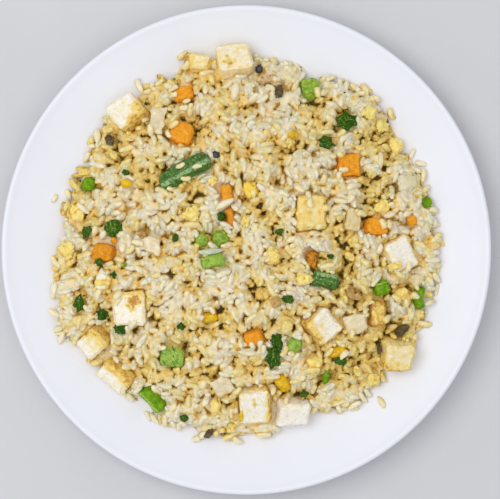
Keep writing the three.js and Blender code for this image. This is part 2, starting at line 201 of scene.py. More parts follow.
# Each finish begins with its surface: its relief in waves a metre and how strong it is, least and most
# roughness and then, where Finish's own don't do, softness, shine, coat and the relief's depth in mm.
# The steps that make its colour follow: mottle (light, dark, waves a metre), ramp (attribute, tones,
# raggedness, waves a metre), blend (attribute, colour, from, to, raggedness, waves a metre) and
# specks (colour, waves a metre, share).
LOOKS = {
    "white glaze": ((60, 0.02, 0.36, 0.44), ("mottle", (240, 242, 250), (238, 240, 248), 12)),
    "pale floor": ((30, 0.0, 0.7, 0.8), ("mottle", (214, 214, 216), (210, 210, 213), 4)),
    "cooked rice": ((650, 0.6, 0.3, 0.5, 0.75, 0.5, 0.0, 0.6), ("ramp", "tone", RICE_TONES, 0.22, 520)),
    "rice core": ((420, 1.0, 0.35, 0.6, 0.75, 0.5, 0.0, 1.2), ("ramp", "tone", RICE_TONES, 0.22, 520)),
    "toasted bits": ((1200, 0.5, 0.3, 0.6), ("mottle", (224, 168, 48), (176, 122, 26), 500)),
    "fried tofu": (
        (1100, 0.45, 0.45, 0.7, 0.4),
        ("ramp", "fried", TOFU_TONES, 0.24, 420), ("specks", (234, 214, 168), 900, 0.14),
    ),
    "carrot": (
        (1300, 0.35, 0.25, 0.5, 0.1, 0.22),
        ("mottle", (246, 170, 32), (228, 140, 12), 500), ("specks", (250, 190, 70), 1700, 0.22),
    ),
    "deep carrot": (
        (1300, 0.35, 0.25, 0.5, 0.1, 0.22),
        ("mottle", (234, 156, 24), (208, 126, 6), 500), ("specks", (242, 172, 58), 1700, 0.18),
    ),
    "browned carrot": (
        (1200, 0.5, 0.3, 0.55, 0.0, 0.2),
        ("mottle", (216, 146, 30), (150, 90, 10), 600), ("specks", (110, 62, 12), 900, 0.3),
    ),
    "corn": (
        (800, 0.15, 0.12, 0.3, 0.08, 0.25, 0.1),
        ("mottle", (240, 200, 16), (212, 160, 2), 260), ("specks", (246, 214, 74), 900, 0.2),
    ),
    "cooked onion": (
        (600, 0.25, 0.18, 0.4, 0.3, 0.5, 0.1),
        ("mottle", (240, 228, 196), (224, 206, 164), 300),
        ("blend", "green", (222, 200, 136), 0.2, 1.0, 0.3, 400),
    ),
    "green bean": (
        (900, 0.4, 0.25, 0.5, 0.05, 0.3), ("mottle", (84, 126, 42), (42, 82, 14), 420),
        ("blend", "streak", (150, 182, 120), 0.3, 1.3, 0.6, 800), ("specks", (168, 196, 140), 1300, 0.12),
    ),
    "bright green": (
        (1100, 0.3, 0.25, 0.5, 0.08, 0.15), ("mottle", (126, 170, 8), (84, 130, 0), 330),
        ("blend", "streak", (166, 196, 84), 0.5, 1.2, 0.45, 900), ("specks", (160, 190, 60), 1500, 0.16),
    ),
    "pea green": (
        (1100, 0.35, 0.2, 0.45, 0.1, 0.25), ("mottle", (162, 192, 62), (104, 144, 18), 380),
        ("blend", "streak", (196, 210, 130), 0.4, 1.2, 0.5, 800), ("specks", (206, 220, 140), 1500, 0.16),
    ),
    "spring onion": (
        (1100, 0.35, 0.2, 0.45, 0.1, 0.25), ("mottle", (168, 196, 78), (120, 160, 46), 380),
        ("blend", "streak", (66, 112, 52), 0.4, 0.9, 0.25, 700), ("specks", (206, 220, 150), 1500, 0.14),
    ),
    "pale stalk": ((900, 0.3, 0.3, 0.6, 0.2), ("mottle", (214, 222, 196), (184, 200, 164), 500)),
    "dark green": (
        (1000, 0.5, 0.3, 0.55, 0.0, 0.12), ("mottle", (70, 106, 6), (38, 70, 0), 420),
        ("blend", "streak", (112, 144, 66), 0.5, 1.1, 0.5, 900), ("specks", (130, 158, 84), 1500, 0.14),
    ),
    "leaf": (
        (900, 0.6, 0.15, 0.45, 0.0, 0.1), ("mottle", (64, 102, 0), (32, 64, 0), 420),
        # Its pale specks are painted highlights of wet spots.
        ("blend", "streak", (130, 156, 80), 0.65, 1.2, 0.45, 900), ("specks", (150, 176, 120), 1300, 0.06),
    ),
    "scrambled egg": (
        (900, 0.4, 0.35, 0.65, 0.15), ("mottle", (255, 233, 148), (252, 220, 112), 320),
        # Painted shade: where the tone is high, in the creases of a curd, it is painted more golden.
        ("blend", "tone", (216, 166, 62), 0.72, 1.15, 0.25, 700),
        ("blend", "white", (246, 240, 222), 0.4, 0.8, 0.2, 500),
    ),
    "bright egg": (
        (900, 0.4, 0.3, 0.6, 0.1),
        ("mottle", (254, 224, 96), (246, 208, 62), 320),
        # Painted shade: where the tone is high, in the creases of a curd, it is painted more golden.
        ("blend", "tone", (206, 160, 24), 0.55, 1.0, 0.2, 700),
    ),
    "mushroom": (
        (900, 0.4, 0.3, 0.6, 0.1), ("mottle", (226, 202, 158), (206, 172, 118), 350),
        ("blend", "streak", (166, 116, 56), 0.4, 1.0, 0.35, 700),
    ),
    "brown mushroom": ((900, 0.5, 0.3, 0.6), ("mottle", (206, 166, 94), (156, 116, 50), 450)),
    "dark mushroom": (
        (900, 0.7, 0.3, 0.6),
        ("mottle", (122, 98, 50), (74, 56, 20), 700), ("specks", (44, 32, 10), 1500, 0.4),
    ),
    "black fungus": ((900, 0.5, 0.2, 0.5, 0.0, 0.5, 0.3), ("mottle", (62, 58, 66), (34, 32, 38), 500)),
}


def srgb(colour):
    """A colour given as 0-255 sRGB, as the linear numbers that shaders take."""
    shares = [value / 255 for value in colour]
    return (*(s / 12.92 if s <= 0.04045 else ((s + 0.055) / 1.055) ** 2.4 for s in shares), 1.0)


class Finish:
    """One material: a Principled shader with a moist, finely uneven surface, coloured in steps."""

    def __init__(self, name, relief, bump, smooth, rough, soft=0.0, shine=0.5, coat=0.0, deep=0.3):
        self.material = bpy.data.materials.new(name)
        self.material.use_nodes = True
        self.tree = self.material.node_tree
        self.shader = self.tree.nodes["Principled BSDF"]
        height = self.waves(relief, 5.0)
        lift = self.add("Bump", {"Strength": bump, "Distance": deep * MM, "Height": height})
        self.feed(self.shader, {
            "Roughness": self.mapped(height, 0.35, 0.65, smooth, rough),
            "Normal": lift["Normal"],
            "Subsurface Weight": soft,
            "Subsurface Radius": (1.0, 0.82, 0.5),
            "Subsurface Scale": 2.6 * MM,
            "Coat Weight": coat,
            "Coat Roughness": 0.15,
            "Specular IOR Level": shine,
        })

    def feed(self, node, inputs):
        """Sets a node's inputs, and links those that are given as another node's socket."""
        for name, value in inputs.items():
            if isinstance(value, bpy.types.NodeSocket):
                self.tree.links.new(value, node.inputs[name])
            else:
                node.inputs[name].default_value = value

    def add(self, kind, inputs, **settings):
        """Adds a node and returns its outputs."""
        node = self.tree.nodes.new(f"ShaderNode{kind}")
        for name, value in settings.items():
            setattr(node, name, value)
        self.feed(node, inputs)
        return node.outputs

    def waves(self, scale, detail, roughness=0.5):
        place = self.add("TexCoord", {})["Object"]
        inputs = {"Vector": place, "Scale": scale, "Detail": detail, "Roughness": roughness}
        return self.add("TexNoise", inputs)["Fac"]

    def mapped(self, value, low, high, to_low=0.0, to_high=1.0, kind="LINEAR"):
        inputs = {"Value": value, "From Min": low, "From Max": high, "To Min": to_low, "To Max": to_high}
        return self.add("MapRange", inputs, interpolation_type=kind)["Result"]

    def attribute(self, name, ragged, scale):
        """A piece's attribute, its borders frayed with noise."""
        share = self.add("Attribute", {}, attribute_name=name)["Fac"]
        sway = self.mapped(self.waves(scale, 4.0), 0.3, 0.7, -ragged, ragged)
        return self.add("Math", {0: share, 1: sway}, operation="ADD")[0]

    def paint(self, colour):
        self.colour = colour
        self.feed(self.shader, {"Base Color": colour})

    def mix(self, share, first, second):
        self.paint(self.add("Mix", {"Factor": share, "A": first, "B": second}, data_type="RGBA")["Result"])

    def mottle(self, light, dark, scale):
        """Two colours in soft blotches."""
        self.mix(self.mapped(self.waves(scale, 4.0, 0.6), 0.36, 0.64), srgb(light), srgb(dark))

    def ramp(self, name, tones, ragged, scale):
        """The tones in turn, as the piece's attribute rises from 0 to 1."""
        colours = self.add("ValToRGB", {"Fac": self.attribute(name, ragged, scale)})["Color"]
        stops = colours.node.color_ramp.elements
        while len(stops) < len(tones):
            stops.new(0.5)
        for stop, (position, tone) in zip(stops, tones):
            stop.position = position
            stop.color = srgb(tone)
        self.paint(colours)

    def blend(self, name, colour, low, high, ragged, scale):
        """Blends towards a colour where the piece's attribute rises from low to high."""
        share = self.mapped(self.attribute(name, ragged, scale), low, high, kind="SMOOTHSTEP")
        self.mix(share, self.colour, srgb(colour))

    def specks(self, colour, scale, amount):
        """Fine specks of a colour. Amount is the share that they cover."""
        least = 0.7 - 0.4 * amount
        self.mix(self.mapped(self.waves(scale, 1.0), least - 0.02, least + 0.06), self.colour, srgb(colour))


STEPS = {"mottle": Finish.mottle, "ramp": Finish.ramp, "blend": Finish.blend, "specks": Finish.specks}


def make_finish(name):
    surface, *steps = LOOKS[name]
    finish = Finish(name, *surface)
    for step, *values in steps:
        STEPS[step](finish, *values)
    return finish.material


FINISHES = {name: make_finish(name) for name in LOOKS}


# ---- Mesh helpers ----

def add_object(name, data):
    thing = bpy.data.objects.new(name, data)
    bpy.context.scene.collection.objects.link(thing)
    return thing


def add_piece(name, mesh, finish, node=None):
    """Adds one finished piece, in place of the CAD node that is given."""
    mesh.materials.append(FINISHES[finish])
    piece = add_object(name, mesh)
    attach(piece, "root")
    if node:
        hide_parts(node)
    return piece


def mesh_from(bm, name):
    mesh = bpy.data.meshes.new(name)
    bm.to_mesh(mesh)
    bm.free()
    mesh.polygons.foreach_set("use_smooth", [True] * len(mesh.polygons))
    return mesh


def set_attribute(mesh, name, values):
    attribute = mesh.attributes.new(name, "FLOAT", "POINT")
    attribute.data.foreach_set("value", np.asarray(values, dtype=np.float32))


def coordinates(mesh, field="co"):
    """Each point's place, or with the field "normal" the direction that it faces."""
    flat = np.empty(len(mesh.vertices) * 3, dtype=np.float64)
    mesh.vertices.foreach_get(field, flat)
    return flat.reshape(-1, 3)


def set_coordinates(mesh, points):
    mesh.vertices.foreach_set("co", np.ascontiguousarray(points, dtype=np.float32).ravel())
    mesh.update()


def smoothstep(low, high, values):
    share = np.clip((np.asarray(values) - low) / (high - low), 0, 1)
    return share * share * (3 - 2 * share)


def waves_at(points, length, seed, octaves=3):
    """Smooth noise from about -1 to 1 at each point, its swells about length apart."""
    offset = Vector((seed * 1.7, seed * 0.9, seed * 2.3))
    return np.array([noise.fractal(Vector(point) / length + offset, 0.8, 2.1, octaves) for point in points])


# ---- Plate ----

def plate_top(radius):
    """Height of the plate's upper face at a distance from its centre."""
    lip_start = PLATE_RADIUS - LIP_WIDTH
    share = np.clip((np.asarray(radius) - FLOOR_RADIUS) / (lip_start - FLOOR_RADIUS), 0, 1.2)
    return FLOOR_Z + (PLATE_HEIGHT - LIP_DROP - FLOOR_Z) * share**RISE_POWER


def plate_profile():
    """From the middle of the underside, out over the lip and back to the middle, as (radius, height)."""
    recess = FOOT_RADIUS - FOOT_WIDTH
    underside = FLOOR_Z - PLATE_WALL
    rise = np.linspace(FLOOR_RADIUS, PLATE_RADIUS - LIP_WIDTH, RISE_STEPS)
    points = [(0, underside), (recess - FOOT_ROUND, underside)]
    points += [(recess, FOOT_ROUND * 0.6), (recess + FOOT_ROUND * 0.6, 0)]
    points += [(FOOT_RADIUS - FOOT_ROUND, 0), (FOOT_RADIUS - FOOT_ROUND * 0.3, FOOT_ROUND * 0.5)]
    points += [(FOOT_RADIUS, FOOT_HEIGHT)]
    points += [(r, plate_top(r) - PLATE_WALL) for r in rise if r > FOOT_RADIUS + FOOT_ROUND]
    for angle in np.linspace(0, math.pi / 2, LIP_STEPS):
        radius = PLATE_RADIUS - LIP_ROUND * (1 - math.cos(angle))
        points.append((radius, PLATE_HEIGHT - LIP_ROUND * (1 - math.sin(angle))))
    points += [(r, plate_top(r)) for r in rise[::-1]]
    points += [(FLOOR_RADIUS * 0.5, FLOOR_Z), (0, FLOOR_Z)]
    return points


def build_plate():
    bm = bmesh.new()
    corners = [bm.verts.new((radius, 0, height)) for radius, height in plate_profile()]
    edges = [bm.edges.new(pair) for pair in zip(corners, corners[1:])]
    bmesh.ops.spin(bm, geom=corners + edges, cent=(0, 0, 0), axis=(0, 0, 1), angle=2 * math.pi,
                   steps=PLATE_STEPS, use_merge=True)
    bmesh.ops.remove_doubles(bm, verts=bm.verts, dist=WELD)
    bmesh.ops.recalc_face_normals(bm, faces=bm.faces)
    add_piece("coupe_plate", mesh_from(bm, "coupe_plate"), "white glaze", "plate")


# ---- The heap's surface ----

def heap_reach(angle):
    """Distance from the centre to the heap's edge."""
    reach = np.full(np.shape(angle), HEAP_RADIUS)
    for direction, amount, width in HEAP_BULGES:
        turn = np.angle(np.exp(1j * (angle - math.radians(direction))))
        reach = reach + amount * MM * np.exp(-((turn / math.radians(width)) ** 2))
    return reach


def heap_top(x, y):
    """Height of the heap's even surface, and how far out a place is, 1 at the heap's edge."""
    reach = heap_reach(np.arctan2(y, x))
    radius = np.hypot(x, y)
    share = np.minimum(1, radius / reach)
    edge = plate_top(reach) + HEAP_EDGE_DEPTH
    wave = 2 * math.pi / BROAD_LUMP_LENGTH
    lump = np.sin(x * wave + 0.7) * np.cos(y * wave * 0.83 - 0.4) * (1 - share**4)
    top = HEAP_CROWN_Z - (HEAP_CROWN_Z - edge) * share**HEAP_POWER + BROAD_LUMP * lump
    return top, radius / reach


def padded(field, axis, before, after):
    return np.pad(field, [(before, after) if a == axis else (0, 0) for a in (0, 1)], mode="edge")


def blurred(field, cells):
    """A grid smoothed by two passes of a box of this many cells to each side."""
    for axis in (0, 1, 0, 1):
        total = np.cumsum(padded(field, axis, cells + 1, cells), axis=axis)
        ahead = np.take(total, range(2 * cells + 1, total.shape[axis]), axis=axis)
        behind = np.take(total, range(0, total.shape[axis] - 2 * cells - 1), axis=axis)
        field = (ahead - behind) / (2 * cells + 1)
    return field


def spread(field, cells, pick):
    """The largest (pick np.maximum) or smallest (np.minimum) value within this many cells, over a grid."""
    for axis in (0, 1):
        wide, count = padded(field, axis, cells, cells), field.shape[axis]
        windows = [np.take(wide, range(shift, shift + count), axis=axis) for shift in range(2 * cells + 1)]
        field = pick.reduce(windows)
    return field


def bridged(heights):
    """A grid of heights with its narrow gaps filled up to the ridges beside them."""
    return spread(spread(heights, CORE_BRIDGE, np.maximum), CORE_BRIDGE, np.minimum)


# ---- Toppings, each worked from its own CAD node ----

def remeshed(node, voxel, rounds):
    """A copy of a node's solid in even faces of this many mm, smoothed in rounds."""
    bm = bmesh.new()
    bm.from_mesh(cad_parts[node].data)
    bmesh.ops.remove_doubles(bm, verts=bm.verts, dist=WELD)
    piece = add_object("working", mesh_from(bm, "working"))
    cover = piece.modifiers.new("cover", "REMESH")
    cover.mode = "VOXEL"
    cover.voxel_size = voxel * MM
    mesh = bpy.data.meshes.new_from_object(piece.evaluated_get(bpy.context.evaluated_depsgraph_get()))
    working = piece.data
    bpy.data.objects.remove(piece)
    bpy.data.meshes.remove(working)
    mesh.polygons.foreach_set("use_smooth", [True] * len(mesh.polygons))
    bm = bmesh.new()
    bm.from_mesh(mesh)
    for _ in range(rounds):
        bmesh.ops.smooth_vert(bm, verts=bm.verts, factor=0.5, use_axis_x=True, use_axis_y=True,
                              use_axis_z=True)
    bm.to_mesh(mesh)
    bm.free()
    mesh.update()
    return mesh


def push(mesh, shift):
    """Moves each point of a mesh along its normal."""
    set_coordinates(mesh, coordinates(mesh) + coordinates(mesh, "normal") * np.asarray(shift)[:, None])


def sway_outline(mesh, points, length, amount, seed):
    """Moves a mesh's points sideways by up to about this amount, so that its outline isn't straight."""
    for axis in (0, 1):
        points[:, axis] += amount * waves_at(points * (1, 1, 0), length, seed + 31 + axis)
    set_coordinates(mesh, points)
    return points


def face_axes(node):
    """The three directions that a block's main faces look in, found from its largest faces."""
    faces = sorted(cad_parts[node].data.polygons, key=lambda face: -face.area)
    first = faces[0].normal.copy()
    second = next(face.normal.copy() for face in faces if abs(face.normal.dot(first)) < 0.3)
    return np.array([first, second, first.cross(second).normalized()])


def long_way(points):
    """The compass direction in which a piece is longest, in radians."""
    flat = points[:, :2] - points[:, :2].mean(axis=0)
    x, y = np.linalg.eigh(flat.T @ flat)[1][:, 1]
    return math.atan(y / x)


def share_along(points, degrees):
    """How far each point lies in a compass direction, from -1 to 1 at the piece's ends."""
    along = points[:, :2] @ (math.cos(math.radians(degrees)), math.sin(math.radians(degrees)))
    return (along - (along.max() + along.min()) / 2) / ((along.max() - along.min()) / 2)


# How golden each piece of tofu is fried: its faces, its sides, then (direction, from, to, more) along it.
TOFU_FRY = {
    "tofu_1": (0.12, 0.12, ((-20, -0.05, 0.2, 0.6),)),
    "tofu_2": (0.42, 0.15, ((180, 0.1, 0.4, 0.2), (180, 0.45, 0.9, 0.45))),
    "tofu_3": (0.28, 0.18, ()),
    "tofu_4": (0.14, 0.15, ((90, 0.2, 0.8, 0.45),)),
    "tofu_5": (0.08, 0.15, ((52, -0.6, 0.3, 0.55),)),
    "tofu_6": (0.12, 0.25, ((205, -0.05, 0.3, 0.5),)),
    "tofu_7": (0.03, 0.45, ((10, 0.8, 1.0, 0.3),)),
    "tofu_8": (0.6, 0.1, ()),
    "tofu_9": (0.1, 0.3, ((0, 0.5, 0.85, 0.62), (170, 0.6, 1.0, 0.5), (90, 0.6, 1.0, 0.5))),
    "tofu_10": (0.02, 0.05, ()),
    "tofu_11": (0.38, 0.15, ((-120, 0.0, 0.9, 0.35),)),
    "tofu_12": (0.1, 0.05, ((45, -0.3, -0.05, 0.66),)),
    "tofu_13": (0.8, 0.25, ((-90, 0.2, 1.0, 0.15),)),
}
# Spots browned more, as x, y, radius in mm and how much.
TOFU_SPOTS = {
    "tofu_2": (-34.5, 103.5, 2.6, 0.35), "tofu_3": (-9.6, 103.6, 3.8, 0.6),
    "tofu_4": (-61.5, -28.5, 4.8, 0.9), "tofu_6": (41.6, -41.6, 2.0, 0.25),
    "tofu_9": (4.6, -84.6, 1.8, 0.6), "tofu_10": (21.0, -86.0, 1.4, 0.3),
}


def make_tofu(node, order):
    """A block with hollowed, pored faces and chipped edges, fried golden in places."""
    mesh = remeshed(node, 0.5, 2)
    axes = face_axes(node)
    edge = smoothstep(0.04, 0.2, 1 - np.abs(coordinates(mesh, "normal") @ axes.T).max(axis=1))
    points = sway_outline(mesh, coordinates(mesh), 9 * MM, 0.7 * MM, order)
    local = (points - (points.min(axis=0) + points.max(axis=0)) / 2) @ axes.T
    half = np.abs(local).max(axis=0)
    hollow = np.prod(np.clip(1 - np.sort(np.abs(local) / half, axis=1)[:, :2] ** 2, 0, 1), axis=1)
    dents = waves_at(points, 5 * MM, order)
    chips = waves_at(points, 2.4 * MM, order + 70, 2)
    pores = np.clip(waves_at(points, 1.3 * MM, order + 40, 1) - 0.32, 0, 1)
    uneven = 0.4 * (dents - 0.7) + 0.3 * (chips - 0.5) * edge
    push(mesh, MM * (uneven - 0.5 * hollow - 0.8 * pores * (1 - edge)))
    faces, sides, ways = TOFU_FRY[node]
    fried = faces + 0.07 * dents
    for degrees, low, high, more in ways:
        fried += more * smoothstep(low, high, share_along(points, degrees) + 0.12 * dents)
    if node in TOFU_SPOTS:
        x, y, radius, more = TOFU_SPOTS[node]
        away = np.hypot(points[:, 0] - x * MM, points[:, 1] - y * MM)
        fried += more * smoothstep(radius * MM, radius * 0.4 * MM, away + 1.6 * MM * (dents + chips))
    side = smoothstep(0.85, 0.3, np.abs(coordinates(mesh, "normal")[:, 2]))
    set_attribute(mesh, "fried", fried + sides * side + 0.14 * edge * smoothstep(-0.5, 0.5, dents))
    return mesh, "fried tofu"


def make_carrot(node, order):
    mesh = remeshed(node, 0.45, 1)
    points = sway_outline(mesh, coordinates(mesh), 8 * MM, 0.9 * MM, order)
    push(mesh, 0.55 * MM * (waves_at(points, 4.5 * MM, order) - 0.7))
    return mesh, "carrot"


def make_corn(node, order):
    mesh = remeshed(node, 0.4, 6)
    push(mesh, 0.5 * MM * (waves_at(coordinates(mesh), 4 * MM, order) - 0.3))
    return mesh, "corn"


def make_onion(node, order):
    """A flat flake, cupped, with fine ridges along it."""
    mesh = remeshed(node, 0.4, 3)
    points = sway_outline(mesh, coordinates(mesh), 7 * MM, 1.2 * MM, order)
    along = long_way(points)
    across = -points[:, 0] * math.sin(along) + points[:, 1] * math.cos(along)
    ridges = 0.08 * MM * np.sin((across / MM + waves_at(points, 5 * MM, order + 2)) * 2 * math.pi / 2.4)
    push(mesh, 0.7 * MM * (waves_at(points, 6 * MM, order) - 0.4) + ridges)
    set_attribute(mesh, "green", np.full(len(points), {"onion_3": 0.3, "onion_2": 0.7}.get(node, 0.0)))
    return mesh, "cooked onion"


def make_egg(node, order):
    """A soft folded curd, more golden in its creases as painted shade."""
    mesh = remeshed(node, 0.4, 4)
    points = coordinates(mesh)
    folds = waves_at(points, 4.2 * MM, order + 9, 2)
    fine = waves_at(points, 1.5 * MM, order, 3)
    push(mesh, MM * (1.5 * (folds - 0.35) + 0.45 * fine))
    # Painted shade: the hollows of the folds get a higher tone, which the finish paints more golden.
    set_attribute(mesh, "tone", np.clip(0.5 - 0.9 * folds - 0.25 * fine, 0, 1))
    white = smoothstep(0.05, 0.3, share_along(points, 95)) if node == "egg_3" else np.zeros(len(points))
    set_attribute(mesh, "white", white)
    return mesh, "scrambled egg"


# A paler band along a cut stalk: its middle and half its width, as shares from -1 to 1 across.
BANDS = {"bean_1": (-0.15, 0.3), "bean_2": (-0.7, 0.3), "bean_3": (0.6, 0.4)}
# Ribs across a piece, where they show: their direction in degrees and how far apart they are in mm.
RIBS = {"scallion_2": (-58, 2.1), "chunk_2": (15, 2.2), "pea_4": (100, 2.6)}


def make_green(node, order):
    """A cut stalk, bean or pea, slightly wrinkled."""
    mesh = remeshed(node, 0.45, 2)
    points = coordinates(mesh)
    along = math.degrees(long_way(points))
    wrinkles = waves_at(points, 2.6 * MM, order)
    swells = waves_at(points, 6 * MM, order + 5)
    streak = 0.3 * wrinkles
    ribs = np.zeros(len(points))
    if node in BANDS:
        middle, half = BANDS[node]
        across = share_along(points, along + 90)
        streak += smoothstep(half, half * 0.5, np.abs(across - middle + 0.1 * swells))
    if node in RIBS:
        degrees, apart = RIBS[node]
        turn = math.radians(degrees)
        aside = (points[:, 0] * -math.sin(turn) + points[:, 1] * math.cos(turn)) / MM
        ribs = np.sin((aside + 0.5 * swells) * 2 * math.pi / apart) * smoothstep(-0.5, 0.3, swells)
        streak += 0.8 * ribs + 0.3
    push(mesh, MM * (0.14 * ribs + 0.35 * (wrinkles - 0.4) + 0.12 * swells))
    set_attribute(mesh, "streak", streak)
    return mesh, "bright green"


def make_leaf(node, order):
    """A thin wilted leaf, its edges curled, with paler veins."""
    mesh = remeshed(node, 0.32, 1)
    points = coordinates(mesh)
    flat = (points - points.mean(axis=0))[:, :2]
    along = long_way(points)
    x = flat @ (math.cos(along), math.sin(along))
    y = flat @ (-math.sin(along), math.cos(along))
    veins = np.minimum(np.abs(y), np.abs(np.mod(x - 1.2 * np.abs(y), 3 * MM) - 1.5 * MM) + 0.35 * MM)
    points[:, 2] += 1.3 * MM * waves_at(points * (1, 1, 0), 6 * MM, order, 2) - 0.1 * np.hypot(*flat.T)
    sway_outline(mesh, points, 6 * MM, 1.2 * MM, order)
    set_attribute(mesh, "streak", smoothstep(0.7 * MM, 0.1 * MM, veins) * 0.9)
    return mesh, "leaf"


def make_mushroom(node, order):
    mesh = remeshed(node, 0.4, 3)
    crinkle = waves_at(coordinates(mesh), 2.2 * MM, order)
    push(mesh, MM * 0.6 * (crinkle - 0.4))
    set_attribute(mesh, "streak", 0.4 + 0.6 * crinkle)
    return mesh, "mushroom"


TOPPING_MAKERS = {
    "tofu": make_tofu, "carrot": make_carrot, "corn": make_corn, "onion": make_onion, "egg": make_egg,
    "bean": make_green, "pea": make_green, "scallion": make_green, "chunk": make_green, "leaf": make_leaf,
    "mushroom": make_mushroom,
}
# Toppings with another finish than the usual one of their kind.
OTHER_FINISH = {
    "carrot_6": "deep carrot", "carrot_7": "deep carrot", "carrot_9": "browned carrot", "egg_2": "bright egg",
    "bean_1": "green bean", "bean_3": "green bean", "pea_1": "pea green", "pea_2": "pea green",
    "pea_4": "dark green", "chunk_1": "pea green", "scallion_1": "spring onion", "scallion_2": "spring onion",
    "scallion_3": "spring onion", "mushroom_2": "brown mushroom", "mushroom_3": "dark mushroom",
}


def kind_of(node):
    return node.rsplit("_", 1)[0]


def build_toppings():
    pieces = {}
    for order, node in enumerate(sorted(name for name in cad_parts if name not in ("plate", "rice"))):
        mesh, usual = TOPPING_MAKERS[kind_of(node)](node, order)
        finish = OTHER_FINISH.get(node, usual)
        pieces[node] = add_piece(f"{node}_cooked", mesh, finish, node)
    return pieces


# ---- The pile of grains ----

class Pile:
    """A grid of heights that things are dropped on, each coming to rest on what is there."""

    def __init__(self, toppings):
        steps = int(round(2 * PILE_HALF / CELL)) + 1
        self.axis = np.linspace(-PILE_HALF, PILE_HALF, steps)
        x, y = np.meshgrid(self.axis, self.axis, indexing="ij")
        self.plate = plate_top(np.hypot(x, y))
        sway = self.noise_field(EDGE_SWAY_LENGTH, 5.0) * EDGE_SWAY
        inwards = 1 - sway / np.maximum(np.hypot(x, y), 40 * MM)
        even, share = heap_top(x * inwards, y * inwards)
        self.inside = share < 1
        self.share = share
        clumps = self.noise_field(CLUMP_LENGTH, 0.0) * CLUMP_HEIGHT * np.clip((1.02 - share) * 8, 0.2, 1)
        clumps = np.clip(clumps, CLUMP_LOWEST, CLUMP_HIGHEST)
        self.lie = self.noise_field(6 * MM, 11.0, 2) * 3 * math.pi
        borders = np.abs(self.noise_field(VALLEY_LENGTH, 31.0, 2))
        broken = smoothstep(-0.05, 0.2, self.noise_field(VALLEY_LENGTH * 0.6, 37.0, 2))
        valleys = smoothstep(VALLEY_WIDTH, VALLEY_WIDTH * 0.3, borders) * broken
        valleys = valleys * smoothstep(0.99, 0.95, share)
        self.target = np.where(self.inside, np.maximum(even, self.plate + LEAST_RICE), self.plate)
        self.covered = np.zeros(x.shape, dtype=bool)
        self.cells_of = {}
        self.under = np.full(x.shape, np.inf)
        self.height = np.maximum(self.plate, self.target - CORE_DEPTH)
        for node, piece in toppings.items():
            self.stamp(node, piece)
        stands = np.where(self.covered, np.maximum(self.height - self.target, 0), 0)
        bank = BANK * np.minimum(blurred(stands, 5), BANK_HEIGHT)
        clumps *= 1 - blurred(self.covered.astype(float), 4)
        raised = even + clumps + bank - TOP_LIFT - VALLEY_DEPTH * valleys
        self.target = np.where(self.inside, np.maximum(raised, self.plate + LEAST_RICE), self.plate)
        self.height = np.where(self.covered, self.height, np.maximum(self.plate, self.target - CORE_DEPTH))
        self.covered = blurred(self.covered.astype(float), 1) > 0.95

    def noise_field(self, length, shift, step=3):
        """Smooth noise from about -1 to 1 over the grid, worked out on a coarser one."""
        coarse = self.axis[::step]
        field = np.array([
            [noise.fractal(Vector((x / length, y / length, shift)), 0.8, 2.1, 2) for y in coarse]
            for x in coarse
        ])
        rows = np.array([np.interp(self.axis, coarse, row) for row in field])
        return np.array([np.interp(self.axis, coarse, column) for column in rows.T]).T

    def stamp(self, node, piece):
        """Adds a topping: its upper face to the heights, its lower face to what the core keeps under."""
        mesh = piece.data
        tree = BVHTree.FromPolygons([v.co for v in mesh.vertices], [p.vertices for p in mesh.polygons])
        points = coordinates(mesh)
        first = np.searchsorted(self.axis, points.min(axis=0)[:2])
        last = np.searchsorted(self.axis, points.max(axis=0)[:2])
        cells = []
        for i in range(first[0], last[0]):
            for j in range(first[1], last[1]):
                above = tree.ray_cast(Vector((self.axis[i], self.axis[j], 0.2)), Vector((0, 0, -1)))[0]
                if above is None:
                    continue
                below = tree.ray_cast(Vector((self.axis[i], self.axis[j], -0.1)), Vector((0, 0, 1)))[0]
                self.height[i, j] = max(self.height[i, j], above.z)
                self.under[i, j] = min(self.under[i, j], below.z)
                self.covered[i, j] = True
                cells.append((i, j))
        self.cells_of[node] = np.array(cells)

    def sample(self, field, x, y):
        """A grid's values at any places, blended between its cells."""
        i, j = ((np.asarray(v) + PILE_HALF) / CELL for v in (x, y))
        i0, j0 = (np.clip(v.astype(int), 0, len(self.axis) - 2) for v in (i, j))
        u, v = np.clip(i - i0, 0, 1), np.clip(j - j0, 0, 1)
        near = field[i0, j0] * (1 - v) + field[i0, j0 + 1] * v
        far = field[i0 + 1, j0] * (1 - v) + field[i0 + 1, j0 + 1] * v
        return near * (1 - u) + far * u

    def cell(self, *place):
        last = len(self.axis) - 1
        return tuple(np.clip(np.rint((np.asarray(v) + PILE_HALF) / CELL).astype(int), 0, last) for v in place)

    def rest(self, x, y, azimuth, size, nestle=NESTLE):
        """Heights and slopes at which a long thing of this size rests at each given spot and azimuth."""
        length, width, height = size
        across, along = np.meshgrid([-0.28, 0, 0.28], np.linspace(-0.42, 0.42, 5), indexing="ij")
        ahead = (along * length)[None]
        aside = (across * width)[None]
        cosine, sine = np.cos(azimuth)[:, None, None], np.sin(azimuth)[:, None, None]
        px = x[:, None, None] + ahead * cosine - aside * sine
        py = y[:, None, None] + ahead * sine + aside * cosine
        ground = self.height[self.cell(px, py)].max(axis=1)
        s = along[0] * length
        slope = ((ground - ground.mean(axis=1, keepdims=True)) * s).sum(axis=1) / (s * s).sum()
        slope = np.clip(slope, -STEEPEST, STEEPEST)
        lift = (ground - slope[:, None] * s).max(axis=1)
        return lift + height * 0.5 * nestle, slope

    def rest_one(self, x, y, azimuth, size, nestle=NESTLE):
        z, slope = self.rest(np.array([x]), np.array([y]), np.array([azimuth]), size, nestle)
        return z[0], slope[0]

